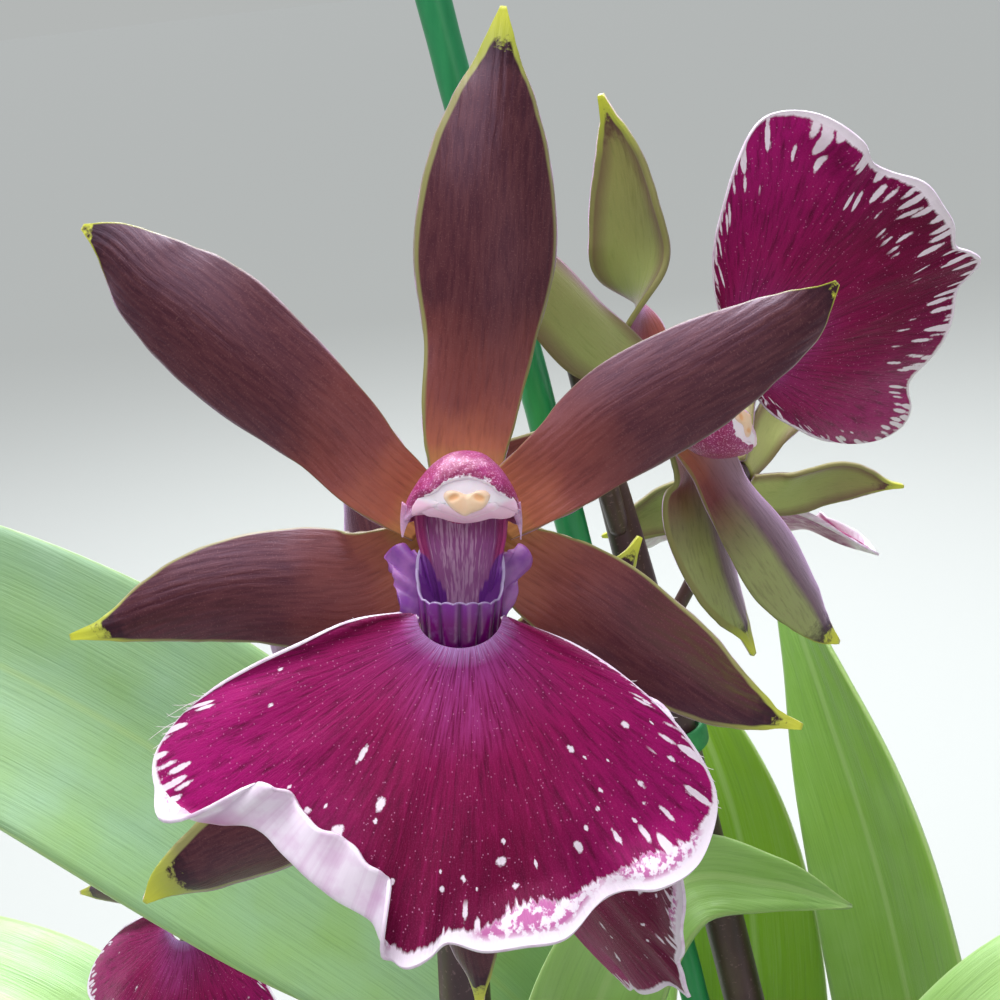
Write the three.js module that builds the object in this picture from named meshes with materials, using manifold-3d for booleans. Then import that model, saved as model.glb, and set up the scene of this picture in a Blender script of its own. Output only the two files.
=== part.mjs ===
// A potted orchid: a plastic pot of bark chips, a clump of pseudobulbs with strap leaves, a green
// stake with two ties, and three flower spikes with four open blooms and one that is half open.
// Millimetres, +Z up, origin at the middle of the pot's foot, -Y towards the viewer.
import * as THREE from "three";
import { mergeVertices } from "three/addons/utils/BufferGeometryUtils.js";
import Module from "manifold-3d";

const wasm = await Module();
wasm.setup();

const gap = 0.35; // clearance that touching pieces keep

// Driving sizes of the pot and what stands in it.
const pot = { height: 125, rimRadius: 77, footRadius: 59, wall: 2.2, rimHeight: 14, rimStep: 2.4 };
const bark = { top: 110, clearance: 0.7 };
const potSides = 36;
const stake = { radius: 2.5, foot: 72, head: 472, sides: 10 };
// Where the stake passes one known height, and how far it leans for each millimetre of height.
const stakeAt = { x: 13.3, y: 15, z: 385, leanX: -0.15 };

// Blade thicknesses.
const leafThickness = 1.1;
const tepalThickness = 0.9;
const lipThickness = 0.9;

const colours = {
  pot: 0x6b3a22,
  bark: 0x5a3a22,
  bulb: 0x6f8f3a,
  leaf: 0x4c7d33,
  spike: 0x4a2b30,
  stake: 0x1e7a45,
  tie: 0x2a8f52,
  tepal: 0x5a2226,
  lip: 0x8a1050,
  column: 0xa83a80,
  anther: 0xf0d0a8,
};

const root = new THREE.Group();

// Small helpers.
const vec = (x, y, z) => new THREE.Vector3(x, y, z);
const rad = (degrees) => (degrees * Math.PI) / 180;
const mix = (a, b, t) => a + (b - a) * t;
const smooth = (low, high, x) => {
  const t = Math.min(1, Math.max(0, (x - low) / (high - low)));
  return t * t * (3 - 2 * t);
};

// A seeded random number from 0 to 1.
function randomSource(seed) {
  let state = seed;
  return () => {
    state = (state * 1664525 + 1013904223) % 4294967296;
    return state / 4294967296;
  };
}

// A smooth value through [place, value] pairs, by Catmull-Rom between neighbours.
function along(pairs, t) {
  let i = 0;
  while (i < pairs.length - 2 && t > pairs[i + 1][0]) i += 1;
  const [t1, v1] = pairs[i];
  const [t2, v2] = pairs[i + 1];
  const [t0, v0] = pairs[Math.max(0, i - 1)];
  const [t3, v3] = pairs[Math.min(pairs.length - 1, i + 2)];
  const k = (t - t1) / (t2 - t1);
  const m1 = t2 > t0 ? ((v2 - v0) / (t2 - t0)) * (t2 - t1) : 0;
  const m2 = t3 > t1 ? ((v3 - v1) / (t3 - t1)) * (t2 - t1) : 0;
  const k2 = k * k;
  const k3 = k2 * k;
  const values = (2 * k3 - 3 * k2 + 1) * v1 + (3 * k2 - 2 * k3) * v2;
  return values + (k3 - 2 * k2 + k) * m1 + (k3 - k2) * m2;
}

// Solids: a closed geometry becomes a manifold body, and a body becomes a geometry again.
function solidOf(geometry) {
  const bare = geometry.index ? geometry.toNonIndexed() : geometry.clone();
  const clean = new THREE.BufferGeometry();
  clean.setAttribute("position", bare.getAttribute("position"));
  const merged = mergeVertices(clean, 1e-4);
  const build = (triVerts) =>
    new wasm.Manifold(
      new wasm.Mesh({ numProp: 3, vertProperties: merged.attributes.position.array, triVerts }),
    );
  const faces = new Uint32Array(merged.index.array);
  const made = build(faces);
  if (made.volume() > 0) return made;
  return build(faces.reverse());
}

function geometryOf(solid) {
  const mesh = solid.getMesh();
  const places = new Float32Array(mesh.numVert * 3);
  for (let i = 0; i < mesh.numVert; i += 1) {
    places.set(mesh.vertProperties.subarray(i * mesh.numProp, i * mesh.numProp + 3), i * 3);
  }
  const geometry = new THREE.BufferGeometry();
  geometry.setAttribute("position", new THREE.BufferAttribute(places, 3));
  geometry.setIndex(new THREE.BufferAttribute(new Uint32Array(mesh.triVerts), 1));
  geometry.computeVertexNormals();
  return geometry;
}

// Only the largest body, so that a scrap left by a cut is dropped.
function largest(solid) {
  return solid.decompose().reduce((a, b) => (b.volume() > a.volume() ? b : a));
}

function material(colour, roughness = 0.5) {
  return new THREE.MeshStandardMaterial({ color: colour, roughness, metalness: 0 });
}

function addNode(parent, name, solid, colour, roughness) {
  const mesh = new THREE.Mesh(geometryOf(largest(solid)), material(colour, roughness));
  mesh.name = name;
  parent.add(mesh);
  return mesh;
}

// A closed skin over rings of points, all with the same count, with a flat fan at each end.
function loftSolid(rings) {
  const count = rings[0].length;
  const places = [];
  const faces = [];
  for (const ring of rings) for (const p of ring) places.push(p.x, p.y, p.z);
  for (let r = 0; r < rings.length - 1; r += 1) {
    for (let i = 0; i < count; i += 1) {
      const a = r * count + i;
      const b = r * count + ((i + 1) % count);
      faces.push(a, b, b + count, a, b + count, a + count);
    }
  }
  [0, rings.length - 1].forEach((r) => {
    const middle = rings[r].reduce((sum, p) => sum.add(p), vec(0, 0, 0)).divideScalar(count);
    const hub = places.length / 3;
    places.push(middle.x, middle.y, middle.z);
    for (let i = 0; i < count; i += 1) {
      const a = r * count + i;
      const b = r * count + ((i + 1) % count);
      if (r === 0) faces.push(hub, b, a);
      else faces.push(hub, a, b);
    }
  });
  const geometry = new THREE.BufferGeometry();
  geometry.setAttribute("position", new THREE.Float32BufferAttribute(places, 3));
  geometry.setIndex(faces);
  return solidOf(geometry);
}

// A round rod along a curve, with its radius given along the way.
function rodSolid(curve, radiusAt, steps, sides) {
  const frames = curve.computeFrenetFrames(steps, false);
  const rings = [];
  for (let s = 0; s <= steps; s += 1) {
    const middle = curve.getPointAt(s / steps);
    const radius = radiusAt(s / steps);
    const ring = [];
    for (let i = 0; i < sides; i += 1) {
      const angle = (2 * Math.PI * i) / sides;
      ring.push(
        middle
          .clone()
          .addScaledVector(frames.normals[s], Math.cos(angle) * radius)
          .addScaledVector(frames.binormals[s], Math.sin(angle) * radius),
      );
    }
    rings.push(ring);
  }
  return loftSolid(rings);
}

// A thin blade from rows of {p, n}: both faces are offset from the middle and are split alike.
function bladeSolid(rows, thickness) {
  const wide = rows[0].length;
  const places = [];
  const faces = [];
  for (const side of [0.5, -0.5]) {
    for (const row of rows) {
      for (const { p, n } of row) {
        const q = p.clone().addScaledVector(n, side * thickness);
        places.push(q.x, q.y, q.z);
      }
    }
  }
  const under = rows.length * wide;
  for (let r = 0; r < rows.length - 1; r += 1) {
    for (let c = 0; c < wide - 1; c += 1) {
      const a = r * wide + c;
      const b = a + 1;
      const d = a + wide;
      const e = d + 1;
      if (c < (wide - 1) / 2) faces.push(a, b, e, a, e, d);
      else faces.push(a, b, d, b, e, d);
    }
  }
  const top = faces.length;
  for (let i = 0; i < top; i += 3) {
    const [a, b, c] = faces.slice(i, i + 3);
    faces.push(a + under, c + under, b + under);
  }
  const rim = [];
  for (let c = 0; c < wide; c += 1) rim.push(c);
  for (let r = 1; r < rows.length; r += 1) rim.push((r + 1) * wide - 1);
  for (let c = wide - 2; c >= 0; c -= 1) rim.push(under - wide + c);
  for (let r = rows.length - 2; r > 0; r -= 1) rim.push(r * wide);
  rim.forEach((a, i) => {
    const b = rim[(i + 1) % rim.length];
    faces.push(b, a, a + under, b, a + under, b + under);
  });
  const geometry = new THREE.BufferGeometry();
  geometry.setAttribute("position", new THREE.Float32BufferAttribute(places, 3));
  geometry.setIndex(faces);
  return solidOf(geometry);
}

// Normals of a grid of points, from its neighbours.
function withNormals(grid) {
  return grid.map((row, r) =>
    row.map((p, c) => {
      const before = grid[Math.max(0, r - 1)][c];
      const after = grid[Math.min(grid.length - 1, r + 1)][c];
      const left = row[Math.max(0, c - 1)];
      const right = row[Math.min(row.length - 1, c + 1)];
      const n = right.clone().sub(left).cross(after.clone().sub(before)).normalize();
      return { p, n };
    }),
  );
}

// The pot: a tapered tub with a stepped rim and five drain holes.
const bandFoot = pot.height - pot.rimHeight;

// Radius of the pot's inner wall at a height.
function potInside(z) {
  const low = pot.footRadius - pot.wall;
  const high = pot.rimRadius - pot.rimStep - pot.wall;
  return mix(low, high, (z - pot.wall) / (bandFoot - pot.wall));
}

function makePot() {
  const { height, rimRadius, footRadius, wall } = pot;
  const profile = [
    [0, 0],
    [footRadius - 0.8, 0],
    [footRadius, 1],
    [rimRadius - pot.rimStep, bandFoot],
    [rimRadius, bandFoot + 1.5],
    [rimRadius, height - 0.8],
    [rimRadius - 0.8, height],
    [rimRadius - wall - 0.8, height],
    [potInside(bandFoot), bandFoot],
    [potInside(wall), wall],
    [0, wall],
  ].map(([r, z]) => new THREE.Vector2(r, z));
  let body = solidOf(new THREE.LatheGeometry(profile, potSides).rotateX(Math.PI / 2));
  const hole = { radius: 4, ring: footRadius - 22, count: 5 };
  for (let i = 0; i < hole.count; i += 1) {
    const angle = (2 * Math.PI * i) / hole.count;
    const drill = new THREE.CylinderGeometry(hole.radius, hole.radius, 20, 10)
      .rotateX(Math.PI / 2)
      .translate(hole.ring * Math.cos(angle), hole.ring * Math.sin(angle), 0);
    body = body.subtract(solidOf(drill));
  }
  return body;
}

// The bulk of the bark fill, with chips raised all over its top.
const chipRings = [
  { radius: 5, count: 1 },
  { radius: 17, count: 4 },
  { radius: 31, count: 5 },
  { radius: 45, count: 7 },
  { radius: 58, count: 9 },
];

function makeBark(holes) {
  const shoulder = bark.top - 6;
  const profile = [
    [0, pot.wall + bark.clearance],
    [potInside(pot.wall) - bark.clearance, pot.wall + bark.clearance],
    [potInside(shoulder) - bark.clearance, shoulder],
    [potInside(shoulder) - 4, bark.top - 2],
    [0, bark.top],
  ].map(([r, z]) => new THREE.Vector2(r, z));
  let fill = solidOf(new THREE.LatheGeometry(profile, potSides).rotateX(Math.PI / 2));
  const random = randomSource(7);
  for (const { radius, count } of chipRings) {
    for (let i = 0; i < count; i += 1) {
      const angle = (2 * Math.PI * (i + 0.6 * random())) / count + radius;
      const chip = new THREE.BoxGeometry(10 + 7 * random(), 7 + 5 * random(), 5 + 3 * random());
      chip.rotateX(0.9 * (random() - 0.5));
      chip.rotateY(0.9 * (random() - 0.5));
      chip.rotateZ(2 * Math.PI * random());
      const r = radius + 3 * (random() - 0.5);
      chip.translate(r * Math.cos(angle), r * Math.sin(angle), bark.top - 0.6 + 1.8 * random());
      fill = fill.add(solidOf(chip));
    }
  }
  for (const hole of holes) fill = fill.subtract(hole);
  return fill;
}

// The stake's axis point at a height.
const stakePoint = (z) => vec(stakeAt.x + (z - stakeAt.z) * stakeAt.leanX, stakeAt.y, z);

function makeStake(radius, foot, head) {
  const line = new THREE.LineCurve3(stakePoint(foot), stakePoint(head));
  return rodSolid(line, () => radius, 1, stake.sides);
}

// Pseudobulbs: egg-shaped swollen stems that stand sunk a little in the bark.
const bulbs = [
  { name: "pseudobulb_1", x: -20, y: 2, height: 62, radius: 17, lean: [-0.1, -0.1] },
  { name: "pseudobulb_2", x: 20, y: -10, height: 58, radius: 16, lean: [0.1, -0.14] },
  { name: "pseudobulb_3", x: 16, y: 32, height: 66, radius: 17, lean: [0.06, 0.12] },
  { name: "pseudobulb_4", x: -26, y: 40, height: 54, radius: 15, lean: [-0.16, 0.16] },
  { name: "pseudobulb_5", x: -8, y: -38, height: 46, radius: 13, lean: [-0.04, -0.2] },
];
const bulbSink = 9;

function makeBulb(spec, grow = 0) {
  const sides = 10;
  const shape = [
    [0, 0.42],
    [0.12, 0.78],
    [0.32, 1],
    [0.55, 0.93],
    [0.78, 0.62],
    [0.93, 0.36],
    [1, 0.22],
  ];
  const steps = 6;
  const rings = [];
  for (let s = 0; s <= steps; s += 1) {
    const t = s / steps;
    const radius = along(shape, t) * spec.radius + grow;
    const z = bark.top - bulbSink + mix(-grow, spec.height + grow, t);
    const x = spec.x + spec.lean[0] * (z - bark.top);
    const y = spec.y + spec.lean[1] * (z - bark.top);
    const ring = [];
    for (let i = 0; i < sides; i += 1) {
      const angle = (2 * Math.PI * i) / sides;
      const reach = radius * (1 + 0.035 * Math.cos(5 * angle));
      ring.push(vec(x + reach * Math.cos(angle), y + 0.86 * reach * Math.sin(angle), z));
    }
    rings.push(ring);
  }
  return loftSolid(rings);
}

// Leaves. Each midrib runs through its points from the foot to the tip. The upper face looks in
// towards the clump at the foot, and then along faces, which is straight up where none is given.
const leaves = [
  {
    name: "leaf_01",
    points: [
      [19, 38, 163],
      [14, 31, 225],
      [-3, 22, 277],
      [-39, 28, 312],
      [-72, 36, 338],
      [-112, 48, 358],
      [-155, 61, 366],
      [-198, 72, 360],
    ],
    width: 50,
    faces: [0.15, -0.75, 0.5],
  },
  {
    name: "leaf_02",
    points: [
      [50, -8, 105],
      [64, -6, 180],
      [71, 8, 236],
      [69, 30, 282],
      [64, 57, 314],
      [60, 80, 336],
    ],
    width: 34,
    faces: [-0.8, -0.5, 0.4],
  },
  {
    name: "leaf_03",
    points: [
      [52, -20, 105],
      [78, -15, 180],
      [98, -4, 240],
      [107, 11, 282],
      [105, 29, 306],
      [99, 50, 326],
    ],
    width: 36,
    faces: [-0.8, -0.6, 0.3],
  },
  {
    name: "leaf_04",
    points: [
      [25, -18, 158],
      [42, -24, 232],
      [64, -22, 282],
      [90, -16, 297],
      [122, -10, 288],
      [156, 0, 256],
    ],
    width: 34,
  },
  {
    name: "leaf_05",
    points: [
      [30, 50, 105],
      [40, 46, 190],
      [45, 42, 250],
      [45, 50, 286],
      [40, 62, 308],
      [32, 82, 322],
    ],
    width: 30,
    faces: [-0.3, -0.8, 0.5],
  },
  {
    name: "leaf_06",
    points: [
      [19, -6, 158],
      [8, 2, 230],
      [10, 4, 285],
      [27, 7, 309],
      [43, 11, 304],
      [58, 16, 294],
    ],
    width: 24,
    faces: [0, -0.6, 0.8],
  },
  {
    name: "leaf_07",
    points: [
      [-38, -14, 105],
      [-64, -26, 172],
      [-106, -46, 206],
      [-152, -70, 202],
      [-192, -92, 172],
    ],
    width: 40,
  },
  {
    name: "leaf_08",
    points: [
      [-41, 46, 105],
      [-68, 62, 190],
      [-114, 80, 240],
      [-166, 98, 250],
      [-216, 112, 230],
    ],
    width: 42,
  },
  {
    name: "leaf_09",
    points: [
      [8, 55, 105],
      [12, 84, 190],
      [20, 118, 240],
      [30, 160, 250],
      [40, 204, 230],
    ],
    width: 42,
  },
  {
    name: "leaf_10",
    points: [
      [-8, -53, 105],
      [-10, -82, 162],
      [-16, -122, 178],
      [-24, -162, 160],
    ],
    width: 34,
  },
  {
    name: "leaf_11",
    points: [
      [-26, -2, 162],
      [-42, -8, 230],
      [-68, -18, 274],
      [-102, -30, 284],
      [-144, -42, 262],
    ],
    width: 38,
  },
];
const leafShape = [
  [0, 0.3],
  [0.12, 0.3],
  [0.3, 0.6],
  [0.48, 0.96],
  [0.62, 1],
  [0.8, 0.74],
  [0.92, 0.36],
  [1, 0.03],
];

function makeLeaf(spec, grow = 0) {
  const steps = 9;
  const across = [-1, -0.5, 0, 0.5, 1];
  const curve = new THREE.CatmullRomCurve3(spec.points.map((p) => vec(...p)));
  const foot = curve.getPointAt(0);
  const heading = curve.getPointAt(1).sub(foot).setZ(0).normalize();
  const faces = vec(...(spec.faces ?? [0, 0, 1]));
  const grid = [];
  for (let s = 0; s <= steps; s += 1) {
    const t = s / steps;
    const ahead = curve.getTangentAt(t);
    const hint = heading.clone().multiplyScalar(-1).lerp(faces, smooth(0, 0.35, t));
    const side = ahead.clone().cross(hint).normalize();
    const face = side.clone().cross(ahead).normalize();
    const half = (spec.width / 2) * along(leafShape, t) + grow;
    const middle = curve.getPointAt(t).addScaledVector(ahead, s === 0 ? -grow : 0);
    const fold = mix(1.05, 0.24, smooth(0, 0.45, t));
    grid.push(
      across.map((q) =>
        middle
          .clone()
          .addScaledVector(side, half * q * Math.cos(fold))
          .addScaledVector(face, half * Math.abs(q) * Math.sin(fold)),
      ),
    );
  }
  return bladeSolid(withNormals(grid), leafThickness + 2 * grow);
}

// Spikes: each is a stem with its flower stalks grown on. collars are where a dry sheath wraps it.
const spikes = {
  front: {
    path: [
      [-24, -22, 104],
      [-18, -20, 200],
      [-9.7, -16, 307],
      [-7, -14, 350],
      [-4, -13, 382],
    ],
    radius: [[0, 4.6], [0.6, 4.3], [0.85, 3.4], [1, 1.8]],
    collars: [0.2, 0.5],
  },
  rear: {
    path: [
      [50, 30, 104],
      [54, 25, 160],
      [48, 19, 215],
      [38.5, 18, 275],
      [27, 18, 350],
      [21.5, 18, 382],
      [17.5, 17, 404],
    ],
    radius: [[0, 4.2], [0.6, 3.6], [0.85, 3], [1, 1.6]],
    collars: [0.2, 0.42],
  },
  left: {
    path: [
      [-46, 34, 104],
      [-58, 44, 180],
      [-64, 56, 240],
      [-64, 62, 274],
    ],
    radius: [[0, 3.8], [0.6, 3.2], [1, 1.8]],
    collars: [0.3],
  },
};
const collar = { length: 18, spread: 0.9 };
const stalkRadius = 1.7;
const ovaryRadius = 2.7;
const cupRadius = 4.2;
const cupFront = -1.6;
const cupBack = -6;

function spikeCurve(spike) {
  return new THREE.CatmullRomCurve3(spike.path.map((p) => vec(...p)));
}

// Blooms. Each is modelled face on: x to its right, y up its dorsal sepal, z out of its face.
// A pose turns a tepal about the face, leans it forward, curls its tip on and twists its blade,
// all in degrees, and may scale it. lipLift bends the lip's blade further forward from its foot.
const blooms = {
  main: {
    prefix: "main_bloom",
    spike: "front",
    centre: [0, -50, 400],
    faces: [0, -0.94, 0.342],
    up: [0.113, 0.34, 0.934],
    joins: [-4, -13, 374],
    detailed: true,
  },
  lower: {
    prefix: "lower_bloom",
    spike: "front",
    centre: [-5.8, -35.5, 364.3],
    faces: [-0.34, -0.91, -0.23],
    up: [-0.93, 0.3, 0.19],
    joins: [-8, -14.5, 338],
    size: 0.92,
    lipLift: 12,
    poses: {
      dorsal_sepal: { turn: 29, lean: -29, curl: -15 },
      petal_left: { turn: -19, lean: 11, curl: 32 },
      petal_right: { turn: 10, lean: -42 },
      lateral_sepal_left: { turn: -6, lean: 20 },
      lateral_sepal_right: { turn: -12, lean: -40, scale: 0.85 },
    },
  },
  rear: {
    prefix: "rear_bloom",
    spike: "rear",
    centre: [29.5, -2.7, 395],
    faces: [0.67, -0.73, 0.1],
    up: [-0.61, -0.62, -0.49],
    joins: [23, 17, 370],
    lipLift: 22,
    poses: {
      dorsal_sepal: { lean: -48 },
      petal_left: { turn: 36, lean: 5, curl: 22, scale: 0.9 },
      petal_right: { turn: -21, lean: -9, curl: 14, scale: 0.9 },
      lateral_sepal_left: { turn: -26, lean: -8, curl: 15, scale: 1.1 },
      lateral_sepal_right: { turn: 6, curl: 9, twist: 110 },
    },
  },
  half: {
    prefix: "half_open_bloom",
    spike: "rear",
    centre: [44, 31, 373],
    faces: [0.3, 0.95, 0.02],
    up: [0, 0, 1],
    joins: [27, 18, 348],
    lipLift: 32,
    size: 0.7,
    poses: {
      dorsal_sepal: { lean: 56 },
      petal_left: { lean: 52 },
      petal_right: { lean: 52 },
      lateral_sepal_left: { lean: 30 },
      lateral_sepal_right: { lean: 20 },
    },
  },
  left: {
    prefix: "left_bloom",
    spike: "left",
    centre: [-60, 50, 296],
    faces: [-0.55, -0.76, 0.34],
    up: [0.11, 0.34, 0.93],
    joins: [-64, 62, 268],
    poses: {
      petal_left: { turn: 35 },
      petal_right: { lean: -20 },
      dorsal_sepal: { lean: -30 },
    },
  },
};

// Tepals of the main bloom: midrib points [x, y, z] from the cup outwards, and half-widths.
const tepals = {
  dorsal_sepal: {
    midrib: [
      [0.2, 3.4, -2.8],
      [0.6, 10.5, -3.2],
      [1.8, 19.5, -2.6],
      [2.4, 28.6, -1.6],
      [2.9, 38, -1.2],
      [3.5, 46, -2],
      [4, 51.5, -3],
      [4.6, 57.5, -3.4],
    ],
    half: [
      [0, 3.6],
      [0.14, 5.2],
      [0.3, 6.1],
      [0.48, 7.8],
      [0.66, 6.9],
      [0.8, 4.7],
      [0.9, 2.2],
      [1, 0.35],
    ],
  },
  petal_left: {
    midrib: [
      [-3.6, 0.4, -0.5],
      [-9.5, 5, 1.2],
      [-14.4, 10.2, 2],
      [-22.4, 17, 2.4],
      [-28.4, 22.2, 1.8],
      [-34, 26.4, 0.6],
      [-38.6, 30.6, -0.8],
      [-42, 32.4, -1.6],
    ],
    half: [
      [0, 3.4],
      [0.16, 4.6],
      [0.3, 5.3],
      [0.5, 6.5],
      [0.66, 6.6],
      [0.82, 4.8],
      [0.93, 2.2],
      [1, 0.35],
    ],
  },
  petal_right: {
    midrib: [
      [3.6, 0.6, -0.5],
      [10.5, 5.4, 1.2],
      [17, 10.6, 2.2],
      [26, 15.8, 2.6],
      [33, 19.8, 2],
      [37, 22.2, 1],
      [39.8, 24.6, 0.2],
      [41.2, 26, -0.2],
    ],
    half: [
      [0, 3.4],
      [0.2, 4.9],
      [0.4, 6.1],
      [0.6, 5.8],
      [0.78, 4.2],
      [0.88, 3],
      [0.95, 1.4],
      [1, 0.35],
    ],
  },
  lateral_sepal_left: {
    midrib: [
      [-4, -3.3, -3],
      [-11.5, -7.4, -3.2],
      [-18, -7.6, -2.8],
      [-23.5, -7.7, -2.4],
      [-29, -8.6, -2.2],
      [-34.4, -10.2, -2.4],
      [-39, -12, -3],
      [-44, -13.2, -3.6],
    ],
    half: [
      [0, 3.4],
      [0.18, 6],
      [0.34, 6.6],
      [0.5, 5.9],
      [0.66, 4.7],
      [0.8, 2.8],
      [0.9, 1.2],
      [1, 0.35],
    ],
  },
  lateral_sepal_right: {
    midrib: [
      [4, -3.1, -3],
      [9.6, -6.6, -3.2],
      [15, -10, -2.8],
      [19.6, -13.4, -2.2],
      [24.4, -16.4, -2],
      [29, -19.6, -2.2],
      [34, -22, -2.8],
      [38, -23.2, -3.2],
    ],
    half: [
      [0, 3.4],
      [0.18, 5.4],
      [0.38, 6.1],
      [0.55, 5.5],
      [0.7, 4.2],
      [0.84, 2.4],
      [0.93, 1],
      [1, 0.35],
    ],
  },
};

// A tepal's midrib once its bloom has turned, leaned and curled it.
function posedMidrib(points, { turn = 0, lean = 0, curl = 0, scale = 1 }) {
  const turned = points.map((p) => vec(...p).applyAxisAngle(vec(0, 0, 1), rad(turn)));
  const place = vec(...points[0]).applyAxisAngle(vec(0, 0, 1), rad(turn * 0.4));
  const posed = [place.clone()];
  for (let i = 1; i < turned.length; i += 1) {
    const step = turned[i].clone().sub(turned[i - 1]).multiplyScalar(scale);
    const outward = vec(turned[i].x, turned[i].y, 0).normalize();
    const hinge = outward.cross(vec(0, 0, 1));
    const t = i / (turned.length - 1);
    place.add(step.applyAxisAngle(hinge, rad(lean + curl * t * t)));
    posed.push(place.clone());
  }
  return new THREE.CatmullRomCurve3(posed);
}

// One tepal: a channelled blade, folded a little along its midrib and cupped at the margins.
function makeTepal(spec, pose, steps, across) {
  const curve = posedMidrib(spec.midrib, pose);
  const grid = [];
  for (let s = 0; s <= steps; s += 1) {
    const t = s / steps;
    const middle = curve.getPointAt(t);
    const ahead = curve.getTangentAt(t);
    const out = vec(middle.x, middle.y, 0).normalize();
    const hint = vec(0, 0, 1).addScaledVector(out, -2 * ahead.z);
    const side = ahead.clone().cross(hint).normalize();
    side.applyAxisAngle(ahead, rad((pose.twist ?? 0) * smooth(0.08, 0.5, t)));
    const face = side.clone().cross(ahead).normalize();
    const half = along(spec.half, t) * (pose.scale ?? 1);
    const channel = 0.18 * half * (1 - smooth(0.75, 1, t));
    grid.push(
      across.map((q) =>
        middle
          .clone()
          .addScaledVector(side, half * q)
          .addScaledVector(face, channel * (Math.abs(q) - 0.5 * q * q) - channel * 0.3),
      ),
    );
  }
  return bladeSolid(withNormals(grid), tepalThickness);
}

// The lip's outline as seen face on, from its left shoulder round the hem to its right shoulder.
const lipOutline = [
  [-6.5, -9.7], [-11.8, -10.6], [-17.2, -13.1], [-22.7, -15.8], [-27.8, -18.9], [-31.2, -22],
  [-33.4, -26], [-32.4, -29.2], [-28.6, -30.8], [-24.6, -30.8], [-21.2, -31.2], [-18, -33.4],
  [-14.6, -35.6], [-11.5, -37.6], [-8.4, -39.4], [-7.2, -41.4], [-5.2, -42.9], [-2.6, -42],
  [-0.9, -40.8], [2.7, -41.4], [6.6, -40.9], [10.6, -40.4], [13.7, -38.1], [16.8, -36.5],
  [20, -36.4], [24.5, -35], [26.6, -32], [27, -28.6], [24.1, -23], [20.4, -19], [16.7, -16],
  [11.9, -13.1], [6.6, -11],
];
const lipFoot = { halfWidth: 5, top: -10, drop: 3.2 };
const lipForm = { foot: 8, slope: 0.42, droop: 0.0112, ruffle: 0.9, waves: 6 };
// The hem turns up a little all round, and rolls right over along its left lower side.
const hem = { rows: 3, inset: 1.3, step: 0.4, turn: 9, rollStep: 1, rollTurn: 50, rollBand: 4.2 };
const rolled = { starts: 7.2, full: 9.2, fades: 14.2, ends: 15.6 };

function lipHeight(x, y, t, q) {
  const away = lipForm.slope * (-12 - y) - lipForm.droop * x * x;
  const wave = lipForm.ruffle * smooth(0.55, 1, t) * Math.sin(lipForm.waves * 2 * Math.PI * q);
  return lipForm.foot + away + wave;
}

// One column of the lip's surface, from its foot out to the hem and round the hem's turn.
function lipColumn(q, edge, steps, rollRows) {
  const angle = (2 * q - 1) * (Math.PI / 2);
  const { halfWidth, top, drop } = lipFoot;
  const foot = vec(halfWidth * Math.sin(angle), top - drop * Math.cos(angle), 0);
  const reach = edge.clone().sub(foot);
  const end = foot.clone().addScaledVector(reach, 1 - hem.inset / reach.length());
  const points = [];
  for (let s = 0; s <= steps; s += 1) {
    const t = s / steps;
    const p = foot.clone().lerp(end, t);
    points.push(p.setZ(lipHeight(p.x, p.y, t, q)));
  }
  const place = q * (lipOutline.length - 1);
  const fade = smooth(rolled.fades, rolled.ends, place);
  const roll = smooth(rolled.starts, rolled.full, place) * (1 - fade);
  const out = points[steps].clone().sub(points[steps - 1]).normalize();
  const up = vec(0, 0, 1).addScaledVector(out, -out.z).normalize();
  for (let k = 1; k <= rollRows; k += 1) {
    const heading = rad(mix(hem.turn, hem.rollTurn, roll) * (k - 0.5));
    const last = k === rollRows;
    const length = mix(hem.step, last ? hem.rollBand : hem.rollStep, roll);
    const next = points[points.length - 1].clone();
    next.addScaledVector(out, Math.cos(heading) * length);
    points.push(next.addScaledVector(up, Math.sin(heading) * length));
  }
  return points;
}

function lipGrid(steps, columns, rollRows) {
  const edgeCurve = new THREE.CatmullRomCurve3(lipOutline.map(([x, y]) => vec(x, y, 0)));
  const strips = [];
  for (let c = 0; c <= columns; c += 1) {
    strips.push(lipColumn(c / columns, edgeCurve.getPoint(c / columns), steps, rollRows));
  }
  return strips[0].map((_, r) => strips.map((strip) => strip[r]));
}

// The ribbed crest at the lip's foot: a horseshoe wall, higher at the back, with ears at its sides.
const crest = {
  radius: 4.7,
  depth: 5,
  wall: 1.5,
  rib: 0.28,
  middle: 3.6,
  foot: -13.4,
  rim: -8.6,
  tips: -3.2,
};

function makeCrest(turns) {
  const rings = [];
  for (let i = 0; i <= turns; i += 1) {
    const angle = rad(mix(-35, 215, i / turns));
    const rise = mix(crest.rim, crest.tips, smooth(0.75, -0.45, Math.sin(angle)));
    const outer = crest.radius + crest.rib * Math.cos(i * Math.PI);
    const inner = crest.radius - crest.wall;
    const stretch = crest.depth / crest.radius;
    const at = (radius, y) =>
      vec(Math.cos(angle) * radius, y, crest.middle + Math.sin(angle) * radius * stretch);
    rings.push([
      at(outer, crest.foot),
      at(outer, rise - 0.5),
      at((outer + inner) / 2, rise),
      at(inner, rise - 0.6),
      at(inner, crest.foot),
    ]);
  }
  return loftSolid(rings);
}

const earOutline = [
  [4, -11.6],
  [5.6, -10.6],
  [6.3, -7.6],
  [7.8, -5.4],
  [7.9, -3.6],
  [6.8, -2.6],
  [5.4, -3.1],
  [4.4, -3.2],
  [4, -6],
];
const ear = { depth: 1.8, back: 1.6 };

function makeEar(side) {
  const shape = new THREE.Shape(earOutline.map(([x, y]) => new THREE.Vector2(x * side, y)));
  const slab = new THREE.ExtrudeGeometry(shape, { depth: ear.depth, bevelEnabled: false });
  return solidOf(slab.translate(0, 0, ear.back));
}

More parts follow.
